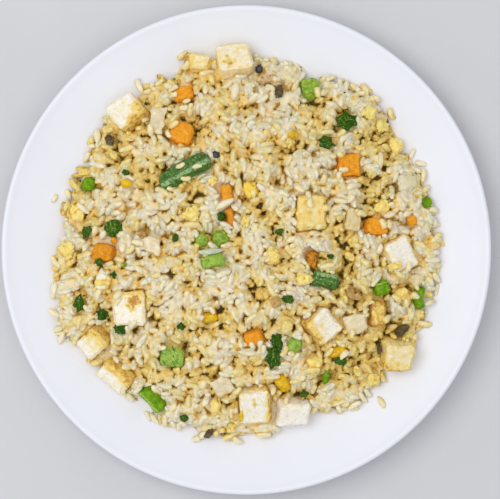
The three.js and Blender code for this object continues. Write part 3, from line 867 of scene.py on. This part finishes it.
    def footprint(self, x, y, z, azimuth, pitch, size):
        """The window of cells around a thing, its top over them, and its outline, under 1 inside."""
        length, width, height = size[0] * SQUEEZE, size[1] * SQUEEZE, size[2]
        reach = int(math.ceil(length / 2 / CELL)) + 1
        ci, cj = self.cell(x, y)
        low_i, high_i = max(ci - reach, 0), min(ci + reach + 1, len(self.axis))
        low_j, high_j = max(cj - reach, 0), min(cj + reach + 1, len(self.axis))
        gx = self.axis[low_i:high_i, None] - x
        gy = self.axis[None, low_j:high_j] - y
        along = gx * math.cos(azimuth) + gy * math.sin(azimuth)
        across = -gx * math.sin(azimuth) + gy * math.cos(azimuth)
        outline = (along / (length / 2 * math.cos(pitch))) ** 2 + (across / (width / 2)) ** 2
        top = z + along * math.tan(pitch) + height / 2 * np.sqrt(np.clip(1 - outline, 0, 1))
        return (slice(low_i, high_i), slice(low_j, high_j)), top, outline

    def settle(self, x, y, z, azimuth, pitch, size):
        """Raises the heights under a thing that has come to rest."""
        window, top, outline = self.footprint(x, y, z, azimuth, pitch, size)
        np.copyto(self.height[window], np.maximum(self.height[window], top), where=outline < 1)

    def paint(self, thing):
        """Marks the cells where a grain is on top with how golden it is."""
        _, x, y, z, azimuth, pitch, _, size, tone = thing
        window, top, outline = self.footprint(x, y, z, azimuth, pitch, size)
        on_top = (outline < 1) & (top > self.height[window] - 0.1 * MM)
        np.copyto(self.tone[window], tone, where=on_top)


def corners_and_triangles(bm):
    bm.verts.index_update()
    points = np.array([v.co[:] for v in bm.verts])
    triangles = np.array([[v.index for v in face.verts] for face in bm.faces])
    bm.free()
    return points, triangles


def grain_shape(random, bend, blunt, taper, cut):
    """One grain of unit half-sizes along X: corners, triangles, and how golden they are, more so below as
    painted shade.
    """
    bm = bmesh.new()
    bmesh.ops.create_uvsphere(bm, u_segments=GRAIN_SIDES, v_segments=GRAIN_SIDES, radius=1)
    bmesh.ops.rotate(bm, verts=bm.verts, cent=(0, 0, 0), matrix=Matrix.Rotation(math.pi / 2, 3, "Y"))
    bmesh.ops.triangulate(bm, faces=bm.faces)
    points, triangles = corners_and_triangles(bm)
    ends = np.sign(points[:, 0]) * np.abs(points[:, 0]) ** blunt
    swell = (1 + taper * ends) * random.uniform(0.68, 1.16, len(points))
    ends = np.minimum(ends, cut) * random.uniform(0.92, 1.0, len(points))
    points = np.stack([ends, points[:, 1] * swell + bend * (1 - ends**2), points[:, 2] * swell], axis=1)
    # Painted shade: the grain's lower side is painted more golden.
    return points, triangles, 0.05 * (0.6 - points[:, 2])


def lump_shape(seed, detail, depth, frequency):
    """One rough lump of unit half-sizes: its corners and its triangles."""
    bm = bmesh.new()
    bmesh.ops.create_icosphere(bm, subdivisions=detail, radius=1)
    points, triangles = corners_and_triangles(bm)
    swell = 1 - depth * (0.3 + waves_at(points, 1 / frequency, seed + 3, 4))
    points = points * swell[:, None]
    return points / np.abs(points).max(axis=0), triangles


def curd_shape(seed, detail):
    """One torn, folded flake of egg of unit half-sizes: corners, triangles and how creased it is, as painted
    shade.
    """
    points, triangles = lump_shape(seed, detail, 0.5, 1.3)
    folds = waves_at(points * (1, 1, 0.3), 0.55, seed + 21, 2)
    fine = waves_at(points, 0.2, seed + 33, 3)
    points[:, 2] += 0.8 * folds + 0.25 * fine
    points[:, :2] *= (1 + 0.15 * fine)[:, None]
    # Painted shade: the hollows of the folds are painted more golden.
    painted_shade = np.clip(0.45 - 0.7 * folds - 0.35 * fine, 0, 1)
    return points / np.abs(points).max(axis=0), triangles, painted_shade


def joined(name, shapes, placed, finish, blank=(), node=None):
    """Adds one piece of many copies: (shape, x, y, z, azimuth, pitch, roll, size, tone) each in placed."""
    all_points, all_triangles, tones, start = [], [], [], 0
    for shape, x, y, z, azimuth, pitch, roll, size, tone in placed:
        points, triangles, *painted_shade = shapes[shape]
        level = math.cos(pitch)
        ahead = np.array([math.cos(azimuth) * level, math.sin(azimuth) * level, math.sin(pitch)])
        left = np.array([-math.sin(azimuth), math.cos(azimuth), 0.0])
        side = left * math.cos(roll) + np.cross(ahead, left) * math.sin(roll)
        scaled = points * (np.array(size) / 2)
        all_points.append(scaled @ np.stack([ahead, side, np.cross(ahead, side)]) + np.array([x, y, z]))
        all_triangles.append(triangles + start)
        # A shape's painted shade, where it has one, is added to each copy's tone.
        tones.append(np.full(len(points), tone) + (painted_shade[0] if painted_shade else 0.0))
        start += len(points)
    points = np.concatenate(all_points)
    triangles = np.concatenate(all_triangles)
    mesh = bpy.data.meshes.new(name)
    mesh.vertices.add(len(points))
    mesh.vertices.foreach_set("co", points.astype(np.float32).ravel())
    mesh.loops.add(triangles.size)
    mesh.loops.foreach_set("vertex_index", triangles.astype(np.int32).ravel())
    mesh.polygons.add(len(triangles))
    mesh.polygons.foreach_set("loop_start", np.arange(0, triangles.size, 3, dtype=np.int32))
    mesh.polygons.foreach_set("loop_total", np.full(len(triangles), 3, dtype=np.int32))
    mesh.polygons.foreach_set("use_smooth", np.ones(len(triangles), dtype=bool))
    mesh.update(calc_edges=True)
    mesh.validate()
    set_attribute(mesh, "tone", np.concatenate(tones))
    for attribute in blank:
        set_attribute(mesh, attribute, np.zeros(len(points)))
    add_piece(name, mesh, finish, node)


# Kinds of grain: smallest and largest (length, width, height) in mm.
GRAINS = {
    "long_grains": ((7.4, 3.2, 2.6), (11.2, 4.2, 3.3)),
    "short_grains": ((5.6, 3.2, 2.6), (7.8, 4.2, 3.3)),
    "broken_grains": ((3.0, 2.4, 2.1), (5.0, 3.6, 2.9)),
}
# Small things strewn among them: slot, finish, smallest and largest size in mm.
CRUMBS = {
    "egg_crumbs": ("egg", "scrambled egg", (2.4, 2.0, 1.4), (5.6, 4.4, 2.4)),
    "onion_flakes": ("onion", "cooked onion", (4.0, 2.6, 1.0), (8.0, 5.2, 1.6)),
    "toasted_bits": ("rice", "toasted bits", (1.2, 0.9, 0.8), (3.8, 2.6, 1.6)),
    "green_flecks": ("leaf", "leaf", (1.4, 1.0, 0.5), (3.6, 2.2, 0.9)),
}
# Shares of the kinds in each round of dropping.
LOWER_MIX = {"long_grains": 5, "short_grains": 4, "broken_grains": 1}
UPPER_MIX = {"long_grains": 5, "short_grains": 3.2, "broken_grains": 1.2, "egg_crumbs": 0.55,
             "onion_flakes": 0.25, "toasted_bits": 0.6, "green_flecks": 0.07}
FILLING_MIX = {"short_grains": 4, "broken_grains": 2.5, "egg_crumbs": 0.8, "toasted_bits": 0.8}
# Smallest and largest curd of egg strewn among the grains, and on top of them, in mm.
LOOSE_CURD = ((5.0, 4.0, 2.6), (9.0, 7.0, 4.0))
TOP_CURD = ((4.5, 3.5, 2.4), (9.5, 7.0, 3.8))
# Pieces too small for nodes of their own: x, y, length, width, height and turn in mm and degrees.
EGG_CURDS = (
    (70, -71.6, 9, 10.5, 4, 0), (-16.7, -87, 7, 11, 4, 0), (-89.4, 42.9, 8, 5, 4, 0),
    (-0.7, 15.9, 10, 6, 4, 80), (-99.3, 0, 13, 12, 4, 20), (-18.3, 37.4, 8, 6, 4, 20),
    (31.2, -16, 12, 8, 4, 0), (14.2, -3.4, 12, 10, 4, 70), (80.8, -8.9, 11, 5, 3.5, 10),
    (67.6, 75.6, 10, 9, 4, 40), (74.7, 67.9, 10, 9, 4, 0), (-41.1, 90.8, 10, 8, 4, 80),
    (-86, 60, 6, 5, 3.5, 90), (-8, -97.9, 8, 7, 4, 0), (-29.9, 19.8, 12, 10, 4, 30),
)
# The other kinds of them: slot, finish, depth of their dents, and each one as above.
SMALL_PIECES = {
    "small_dark_greens": ("leaf", "dark green", 0.45, (
        (-13.7, 18.4, 5.5, 5.5, 5, 0), (-34.4, -93.1, 5.5, 4.5, 2.5, 0), (31.8, -79.3, 7, 5, 2, 20),
        (-80.7, -6.5, 6, 5, 2, 10), (22.7, -27, 8, 5, 2, 0), (-66, 42.3, 5, 4, 2, 0),
        (18, 9.9, 6, 3.5, 2, 20), (-38.7, 6.6, 6, 3.5, 2, 80), (51.5, -60.6, 8, 5, 2, 0),
        (-72.3, -13.8, 5, 3, 2, 90),
    )),
    "small_leaves": ("leaf", "leaf", 0.6, (
        (-78.9, -35.3, 7.5, 7, 1.4, 0), (-69, -43.6, 9, 6, 1.4, -20), (-35.7, -41.9, 6.5, 5, 1.4, 10),
        (45.9, -3.4, 5, 3, 1.2, 0), (16.8, -50.4, 8, 10, 1.6, 0),
    )),
    "small_bright_greens": ("scallion", "bright green", 0.35, (
        (43.8, -70, 9, 4, 2.5, 80), (99.8, 26.2, 8, 6, 2.5, 80), (-66.5, -8.5, 4, 2.5, 1.5, 60),
    )),
    "pale_stalk": ("scallion", "pale stalk", 0.15, ((-19.6, -0.8, 14, 3.4, 2.2, 5),)),
    "small_corn": ("corn", "corn", 0.2, (
        (-65.7, 36.3, 6.5, 5.5, 4, 0), (25.7, 62.7, 8, 4, 3.5, 0), (-2.9, -91.5, 7, 3, 3, 90),
    )),
    "small_carrot": ("carrot", "carrot", 0.25, (
        (91.2, 16.2, 7, 6, 4, 80), (-72.5, 5.0, 5, 3.5, 3, 100),
    )),
    "small_mushrooms": ("mushroom", "dark mushroom", 0.35, (
        (18, 86.9, 9, 5, 2.5, 80), (-20.8, -101.7, 7, 4, 2.5, 50), (-75.3, 60.5, 8, 6, 2.5, -50),
        (73, -54.6, 8, 3, 2, 90),
    )),
    "brown_mushrooms": ("mushroom", "brown mushroom", 0.35, (
        (-56.3, 8.8, 8, 5, 2.5, 30), (16.1, -28.5, 7, 6, 2.5, 90),
    )),
    "mushroom_tips": ("mushroom", "black fungus", 0.3, (
        (7.0, 99.8, 5.5, 4.5, 3, 80), (-16.6, 52.0, 5, 4, 2.4, -30),
    )),
    "loose_onion": ("onion", "cooked onion", 0.3, (
        (88.5, 37.4, 13, 12, 2, 0), (-6.2, 86.9, 11, 4.5, 2, 80),
    )),
}
# Grains that lie loose on the plate or on a bean: x, y, turn and length, and how wide and high they are.
STRAYS = ((74.7, -84.3, 120, 8), (-106.4, 28.6, 60, 6), (105.5, -22.1, 80, 8), (101.8, -29.0, 20, 8),
          (-35.8, 46, 25, 6), (-26.2, 45.4, 10, 7), (-33, 39.2, 0, 6), (-41.3, 33, -15, 4.5))
STRAY_SIZE = (3.2 * MM, 2.7 * MM)
# Kinds of topping on which a knot of grains has come to lie, and how many lie on the ones that differ.
PERCHED = ("tofu", "bean", "carrot", "corn", "onion", "egg", "mushroom")
PERCHED_ON = {
    "bean_1": 0, "bean_2": 0, "bean_4": 0, "tofu_8": 6, "tofu_4": 2, "tofu_7": 2, "tofu_11": 2, "tofu_5": 0,
    "tofu_6": 0, "tofu_12": 2, "tofu_3": 0, "chunk_1": 1, "leaf_5": 0, "scallion_3": 1, "carrot_3": 2,
    "carrot_2": 2, "mushroom_3": 0, "carrot_6": 0,
}
# Broad parts of the heap that are paler or more golden than the rest: x, y, radius in mm and how much.
TONE_ZONES = ((-47, 79, 18, -0.2), (-67, 58, 14, -0.12), (-47, -52, 22, -0.16), (22, -40, 11, -0.12),
              (-18, 0, 12, -0.14), (42, 79, 11, -0.1), (50, 0, 18, 0.2), (78, 32, 16, 0.16),
              (12, 32, 17, 0.16), (45, 40, 11, 0.1), (20, -60, 12, 0.16), (-10, -88, 16, 0.16))


def size_between(random, least, most):
    mix = random.random()
    return [(a + (b - a) * mix * random.uniform(0.85, 1.0)) * MM for a, b in zip(least, most)]


def random_spots(pile, random):
    """A few random spots, their cells, and whether they are closed to new things."""
    x, y = random.uniform(-1, 1, (2, SPOTS)) * SPOT_HALF
    cells = pile.cell(x, y)
    return x, y, cells, pile.covered[cells] | ~pile.inside[cells]


def lowest_spot(pile, random, size):
    """Where, and how turned, a thing lies lowest among a few random spots and turns."""
    x, y, cells, closed = random_spots(pile, random)
    room = np.where(closed, -1.0, pile.target[cells] - pile.height[cells])
    best = np.argsort(room)[-BEST_SPOTS:]
    best = best[room[best] > -0.5 * MM]
    if len(best) == 0:
        return None
    x, y = np.repeat(x[best], TURNS), np.repeat(y[best], TURNS)
    azimuth = pile.lie[pile.cell(x, y)] + random.normal(0, STRAY_TURN, len(x))
    z, _ = pile.rest(x, y, azimuth, size)
    k = int((z - pile.target[pile.cell(x, y)]).argmin())
    return x[k], y[k], azimuth[k]


def wanted_spot(pile, random, wanted):
    """A random spot where the grid called wanted is high, and a turn for it."""
    x, y, cells, closed = random_spots(pile, random)
    wish = np.where(closed, -1.0, wanted[cells] + random.normal(0, 0.1, SPOTS))
    k = int(wish.argmax())
    return None if wish[k] < 0 else (x[k], y[k], random.uniform(0, 2 * math.pi))


def highest_rest(size, slope):
    """The height up to which a thing of this size can lie and stay under the ceiling."""
    return CEILING - 0.5 * size[2] - 0.45 * size[0] * abs(slope)


def beside(x, y, azimuth, ahead, aside):
    """The place that is this far ahead and aside of a spot."""
    return (x + ahead * math.cos(azimuth) - aside * math.sin(azimuth),
            y + ahead * math.sin(azimuth) + aside * math.cos(azimuth))


def drop(pile, random, spot, sizes, highest=HIGHEST, nestle=NESTLE):
    """Drops things side by side, sunk into each other, and returns the places of those that fit."""
    if spot is None:
        return []
    aside = (np.arange(len(sizes)) - (len(sizes) - 1) / 2) * sizes[0][1] * BUNDLE_GAP
    ahead = random.normal(0, BUNDLE_SLIP, len(sizes)) * sizes[0][0]
    turns = spot[2] + random.normal(0, BUNDLE_TURN, len(sizes))
    places = []
    for x, y, turn, size in zip(*beside(*spot, ahead, aside), turns, sizes):
        z, slope = pile.rest_one(x, y, turn, size, nestle)
        cell = pile.cell(x, y)
        reach = 0.4 * size[0] * np.array([-1, 1])
        ends = pile.cell(x + reach * math.cos(turn), y + reach * math.sin(turn))
        clear = not pile.covered[ends].any() or random.random() < OVERLAP
        low_enough = z - pile.target[cell] < highest and z < highest_rest(size, slope)
        if low_enough and pile.inside[cell] and not pile.covered[cell] and clear:
            places.append((x, y, z, turn, math.atan(slope + random.normal(0, STRAY_PITCH)), size))
    for place in places:
        pile.settle(*place)
    return places


def drop_grains(pile, random, placed, count, mix):
    """Drops bundles of grains, and single crumbs, of the kinds in mix until count are tried."""
    shares = np.array(list(mix.values()))
    for kind in random.choice(list(mix), size=count, p=shares / shares.sum()):
        grain = kind in GRAINS
        limits = GRAINS[kind] if grain else CRUMBS[kind][2:]
        bundle = random.integers(1, BUNDLE + 1) if grain else 1
        sizes = [size_between(random, *limits) for _ in range(bundle)]
        for *place, size in drop(pile, random, lowest_spot(pile, random, sizes[0]), sizes):
            shape = random.integers(GRAIN_SHAPES if grain else LUMP_SHAPES)
            placed[kind].append([shape, *place, random.uniform(-ROLL, ROLL), size, random.normal()])


def drop_curds(pile, random, curds, count, limits, spot_for, tones, *rest):
    """Drops loose curds of egg, each at the spot that spot_for gives for its size."""
    for order in range(count):
        size = size_between(random, *limits)
        for *place, size in drop(pile, random, spot_for(size), [size], *rest):
            shape = CURD_SHAPES + order % CURD_SHAPES
            curds.append([shape, *place, 0.0, size, random.uniform(*tones)])


def top_with_clumps(pile, random, placed):
    """Drops knots of pale grains that lie every way, sunk into each other."""
    wanted = pile.noise_field(TOP_LENGTH, 29.0) - 0.5 * (pile.tone - 0.4)
    for _ in range(CLUMPS):
        spot = wanted_spot(pile, random, wanted)
        if spot is None:
            continue
        radius = random.uniform(CLUMP_SMALLEST, CLUMP_LARGEST) * random.uniform(0.6, 1)
        stretch = random.uniform(0.5, 1)
        pale = random.uniform(0, 0.34)
        for _ in range(int(math.pi * radius**2 * stretch / CLUMP_GRAIN_ROOM) + 1):
            away, way = radius * math.sqrt(random.random()), random.uniform(0, 2 * math.pi)
            x, y = beside(*spot, away * math.cos(way), away * math.sin(way) * stretch)
            kind = random.choice(list(GRAINS), p=CLUMP_MIX)
            size = size_between(random, *GRAINS[kind])
            here = (x, y, random.uniform(0, math.pi))
            for *place, size in drop(pile, random, here, [size], HIGHEST + TOP_LIFT, TOP_NESTLE):
                tone = pale + random.uniform(-0.02, 0.03) + 0.25 * pile.tone[pile.cell(*place[:2])]
                tone, shape = float(np.clip(tone, 0, 1)), random.integers(GRAIN_SHAPES)
                placed[kind].append([shape, *place, random.uniform(-ROLL, ROLL), size, tone])


def lay(pile, shape, x, y, length, width, height, turn):
    """Lays one thing at a given place on what is there, and keeps later things off its middle."""
    x, y, size, azimuth = x * MM, y * MM, (length * MM, width * MM, height * MM), math.radians(turn)
    z, slope = pile.rest_one(x, y, azimuth, size)
    z = min(z, highest_rest(size, slope))
    pitch = math.atan(slope)
    pile.settle(x, y, z, azimuth, pitch, size)
    window, _, outline = pile.footprint(x, y, z, azimuth, pitch, size)
    pile.covered[window] |= outline < KEPT_CLEAR
    under = np.where(outline < 0.9, z - 0.3 * size[2], np.inf)
    pile.under[window] = np.minimum(pile.under[window], under)
    return [shape, x, y, z, azimuth, pitch, 0.0, size, 0.0]


def lay_grain(pile, placed, x, y, size, turn, shape, tone, highest):
    """Lays one loose grain on what is there, unless it would stand too high."""
    azimuth = math.radians(turn)
    z, slope = pile.rest_one(x, y, azimuth, size)
    if z < min(highest, highest_rest(size, slope)):
        pitch = math.atan(slope)
        pile.settle(x, y, z, azimuth, pitch, size)
        placed.append([shape, x, y, z, azimuth, pitch, 0.0, size, tone])


def perch(pile, random, placed, node, count):
    """Lays knots of two or three grains on a topping, near its edges."""
    cells = pile.cells_of[node]
    away = np.hypot(*(cells - cells.mean(axis=0)).T)
    outer = cells[away > np.quantile(away, KNOT_OUTER)]
    for _ in range(count):
        i, j = outer[random.integers(len(outer))]
        highest = pile.height[i, j] + KNOT_RISE
        tone = random.uniform(0, 0.3)
        for _ in range(random.integers(2, 4)):
            x, y = pile.axis[[i, j]] + random.normal(0, KNOT_WIDTH, 2)
            size = size_between(random, *GRAINS["short_grains"])
            turn, shape = random.uniform(0, 360), random.integers(GRAIN_SHAPES)
            lay_grain(pile, placed["short_grains"], x, y, size, turn, shape, tone, highest)


def tone_grains(pile, placed):
    """Sets how golden each grain is, 0 to 1: in clusters, with painted light where it stands up out of the
    pile.
    """
    level = blurred(pile.height, 5)
    rise = (level - blurred(pile.height, 18)) / MM
    rise = np.clip(rise, -1.2, 1.5) * smoothstep(0.0, 6.0, (pile.target - pile.plate) / MM)
    broad = 0.55 * pile.noise_field(26 * MM, 3.1) + 0.42 * pile.noise_field(48 * MM, 7.7)
    # Painted light and shade: raised parts of the pile are painted paler, its hollows more golden.
    pile.tone = MIDDLE_TONE + broad + 0.35 * pile.noise_field(9 * MM, 43.0) - RISE_LIGHT_AND_SHADE * rise
    pile.tone -= EDGE_PALER * smoothstep(0.84, 1.0, pile.share)
    for x, y, radius, more in TONE_ZONES:
        away = np.hypot(pile.axis[:, None] - x * MM, pile.axis[None, :] - y * MM)
        pile.tone += more * smoothstep(1.4 * radius * MM, 0.3 * radius * MM, away)
    pile.tone = np.minimum(pile.tone, GOLDEN + 0.35 * (pile.tone - GOLDEN))
    for kind in GRAINS:
        for thing in placed[kind]:
            _, x, y, z, *_, size, chance = thing
            # Painted light: a grain that stands higher than those around it is painted paler.
            stands = (z + size[2] / 2 - level[pile.cell(x, y)]) / MM
            tone = pile.tone[pile.cell(x, y)] - 0.03 * stands + 0.02 * chance
            thing[-1] = float(np.clip(tone, 0, 1))


def darken_deep_grains(pile, placed):
    """Makes grains that lie low between others more golden, as soaked oil and painted shade, and marks them
    all on the pile.
    """
    level = bridged(pile.height)
    for kind in GRAINS:
        for thing in placed[kind]:
            _, x, y, z, *_, size, tone = thing
            depth = (level[pile.cell(x, y)] - z - size[2] / 2) / MM
            thing[-1] = min(tone + DEEP_SHADE_AND_OIL * float(smoothstep(0.8, 2.6, depth)), 1)
            pile.paint(thing)


def add_fringe(pile, random, placed):
    """Lays single grains around the heap's edge."""
    for _ in range(FRINGE):
        angle = random.uniform(-math.pi, math.pi)
        away = float(heap_reach(angle)) + random.normal(FRINGE_OUT, FRINGE_WIDTH)
        x, y = away * math.cos(angle), away * math.sin(angle)
        kind = random.choice(list(GRAINS), p=CLUMP_MIX)
        size = size_between(random, *GRAINS[kind])
        turn, shape = random.uniform(0, 360), random.integers(GRAIN_SHAPES)
        tone = random.uniform(-0.1, 0.25)
        reach = 0.5 * size[0] * np.array([-1, 0, 1])
        way = math.radians(turn)
        ends = pile.cell(x + reach * math.cos(way), y + reach * math.sin(way))
        if not pile.covered[ends].any():
            highest = pile.plate[pile.cell(x, y)] + FRINGE_RISE
            lay_grain(pile, placed[kind], x, y, size, turn, shape, tone, highest)


def add_strays(pile, random, placed):
    for x, y, turn, length in STRAYS:
        shape, tone = random.integers(GRAIN_SHAPES), random.uniform(0, 0.2)
        size = (length * MM, *STRAY_SIZE)
        lay_grain(pile, placed["long_grains"], x * MM, y * MM, size, turn, shape, tone, CEILING)


def join_grains(random, placed):
    grains = []
    for shape in range(GRAIN_SHAPES):
        bend, blunt, taper = random.uniform(-0.4, 0.4), random.uniform(0.6, 0.85), random.uniform(-0.2, 0.2)
        grains.append(grain_shape(random, bend, blunt, taper, 1.0 if shape % 3 else 0.65))
    lumps = [lump_shape(seed, 2, 0.5, 1.6) for seed in range(LUMP_SHAPES)]
    for kind in GRAINS:
        joined(kind, grains, placed[kind], "cooked rice", node="rice")
    for kind, (slot, finish, _, _) in CRUMBS.items():
        joined(kind, lumps, placed[kind], finish, ("white", "green", "streak"))


def join_pieces(curds, small):
    shapes = [curd_shape(seed, detail) for detail in (4, 3) for seed in range(CURD_SHAPES)]
    joined("egg_curds", shapes, curds, "scrambled egg", ("white",))
    for kind, (slot, finish, depth, rows) in SMALL_PIECES.items():
        shapes = [lump_shape(seed + 11, 4, depth, 1.5) for seed in range(len(rows))]
        joined(kind, shapes, small[kind], finish, ("green", "streak"))


def scatter(pile):
    """Drops and lays everything on the pile. The order decides what lies on what."""
    random = np.random.default_rng(SEED)
    placed = {kind: [] for kind in (*GRAINS, *CRUMBS)}
    drop_grains(pile, random, placed, LOWER_DROPS, LOWER_MIX)
    curds = [lay(pile, order % CURD_SHAPES, *row) for order, row in enumerate(EGG_CURDS)]
    drop_curds(pile, random, curds, LOOSE_CURDS, LOOSE_CURD, lambda size: lowest_spot(pile, random, size),
               (-0.15, 0.15))
    small = {kind: [lay(pile, order, *row) for order, row in enumerate(rows)]
             for kind, (_, _, _, rows) in SMALL_PIECES.items()}
    drop_grains(pile, random, placed, UPPER_DROPS, UPPER_MIX)
    drop_grains(pile, random, placed, FILLING_DROPS, FILLING_MIX)
    tone_grains(pile, placed)
    drop_curds(pile, random, curds, TOP_CURDS, TOP_CURD, lambda size: wanted_spot(pile, random, pile.tone),
               (-0.25, 0.1), HIGHEST + TOP_LIFT, TOP_NESTLE)
    top_with_clumps(pile, random, placed)
    add_fringe(pile, random, placed)
    add_strays(pile, random, placed)
    for node in pile.cells_of:
        perch(pile, random, placed, node, PERCHED_ON.get(node, int(kind_of(node) in PERCHED)))
    darken_deep_grains(pile, placed)
    join_grains(random, placed)
    join_pieces(curds, small)


# ---- The core ----

def core_reach(pile, angle):
    """Distance from the centre at which the core has thinned out to the plate."""
    for radius in np.arange(CORE_WIDEST, CORE_NARROWEST, CORE_STEP_IN) * MM:
        cell = pile.cell(radius * math.cos(angle), radius * math.sin(angle))
        if pile.target[cell] - pile.plate[cell] > CORE_THINNEST:
            return radius
    return CORE_NARROWEST * MM


def core_surface(pile):
    """The core's upper face and tone, with painted shade in gaps and cracks: close under the grains, cracked,
    and lowered under each topping.
    """
    topped = np.isfinite(pile.under)
    grains = np.where(topped, pile.target - 1 * MM, pile.height)
    gap = bridged(grains) - grains
    least = np.quantile(gap[pile.inside], 1 - CRACK_SHARE)
    edge = smoothstep(0.86, 0.97, pile.share)
    cracks = smoothstep(least, least + 0.4 * MM, gap) * (1 - 0.8 * edge)
    filled = grains + (CORE_FILL + EDGE_FILL * edge) * gap
    top = 0.5 * (filled + blurred(filled, 1)) - CORE_SINK - CRACK_DEPTH * cracks
    under = np.where(topped, pile.under - CORE_UNDER_TOPPING, np.inf)
    top = np.maximum(np.minimum(top, under), pile.plate + CORE_OVER_PLATE)
    # Painted shade: the core is painted more golden where it lies deep in a gap between grains, and more
    # still in its cracks.
    tone = blurred(spread(pile.tone, 1, np.minimum), 1) + 0.3 * smoothstep(0.4 * MM, least, gap)
    return top, np.clip(tone + CRACK_SHADE * cracks, 0, 1.1)


def on_disc(x, y):
    """Where a point of a square from -1 to 1 comes to lie when the square is drawn evenly onto a disc."""
    if abs(x) > abs(y):
        return abs(x), math.atan2(0, x) + math.pi / 4 * y / x
    if y == 0:
        return 0.0, 0.0
    return abs(y), math.copysign(math.pi / 2, y) - math.pi / 4 * x / y


def build_core(pile):
    """A closed dome that binds the grains together."""
    heights, tones = core_surface(pile)
    turns = np.linspace(-math.pi, math.pi, CORE_TURNS)
    reaches = [core_reach(pile, turn) - CORE_INSET for turn in turns]
    bm = bmesh.new()
    bmesh.ops.create_grid(bm, x_segments=CORE_STEPS, y_segments=CORE_STEPS, size=1)
    rim = [edge for edge in bm.edges if edge.is_boundary]
    for vert in bm.verts:
        share, angle = on_disc(vert.co.x, vert.co.y)
        angle = (angle + math.pi) % (2 * math.pi) - math.pi
        radius = share * float(np.interp(angle, turns, reaches))
        x, y = radius * math.cos(angle), radius * math.sin(angle)
        vert.co = (x, y, max(float(pile.sample(heights, x, y)), float(plate_top(radius)) + 0.5 * MM))
    lowered = bmesh.ops.extrude_edge_only(bm, edges=rim)["geom"]
    for vert in lowered:
        if isinstance(vert, bmesh.types.BMVert):
            vert.co.z = float(plate_top(vert.co.xy.length)) + 0.2 * MM
    bmesh.ops.contextual_create(bm, geom=[edge for edge in lowered if isinstance(edge, bmesh.types.BMEdge)])
    bmesh.ops.recalc_face_normals(bm, faces=bm.faces)
    mesh = mesh_from(bm, "rice_core")
    x, y, _ = coordinates(mesh).T
    set_attribute(mesh, "tone", pile.sample(tones, x, y))
    add_piece("rice_core", mesh, "rice core", "rice")


# ---- Floor, light and camera ----

def build_stage():
    bm = bmesh.new()
    bmesh.ops.create_grid(bm, x_segments=2, y_segments=2, size=FLOOR_HALF)
    bmesh.ops.translate(bm, verts=bm.verts, vec=(0, 0, -FLOOR_DROP))
    floor = add_object("floor", mesh_from(bm, "floor"))
    floor.data.materials.append(FINISHES["pale floor"])


def add_light(name, place, size, power, colour):
    data = bpy.data.lights.new(name, "AREA")
    data.shape = "DISK"
    data.size = size
    data.energy = power
    data.color = colour
    light = add_object(name, data)
    light.location = place
    light.rotation_euler = (-Vector(place)).to_track_quat("-Z", "Y").to_euler()


def build_light():
    scene = bpy.context.scene
    scene.view_settings.view_transform = "Standard"
    scene.world = bpy.data.worlds.new("studio")
    scene.world.use_nodes = True
    background = scene.world.node_tree.nodes["Background"].inputs
    background["Color"].default_value = (0.95, 0.972, 1.0, 1)
    background["Strength"].default_value = 0.61
    add_light("key", (-0.55, 0.2, 1.3), 0.9, 6.0, (1.0, 0.995, 0.98))
    add_light("overhead", (0.1, -0.25, 1.9), 1.6, 6.2, (1.0, 0.995, 0.99))


def build_camera():
    data = bpy.data.cameras.new("camera")
    data.lens = LENS
    data.sensor_width = SENSOR
    data.sensor_fit = "HORIZONTAL"
    data.clip_start = 0.05
    data.clip_end = 20
    camera = add_object("camera", data)
    camera.location = (*VIEW_CENTRE, PLATE_HEIGHT + LENS / SENSOR * FRAME_WIDTH)
    bpy.context.scene.camera = camera


build_stage()
build_light()
build_camera()
build_plate()
rice_pile = Pile(build_toppings())
scatter(rice_pile)
build_core(rice_pile)
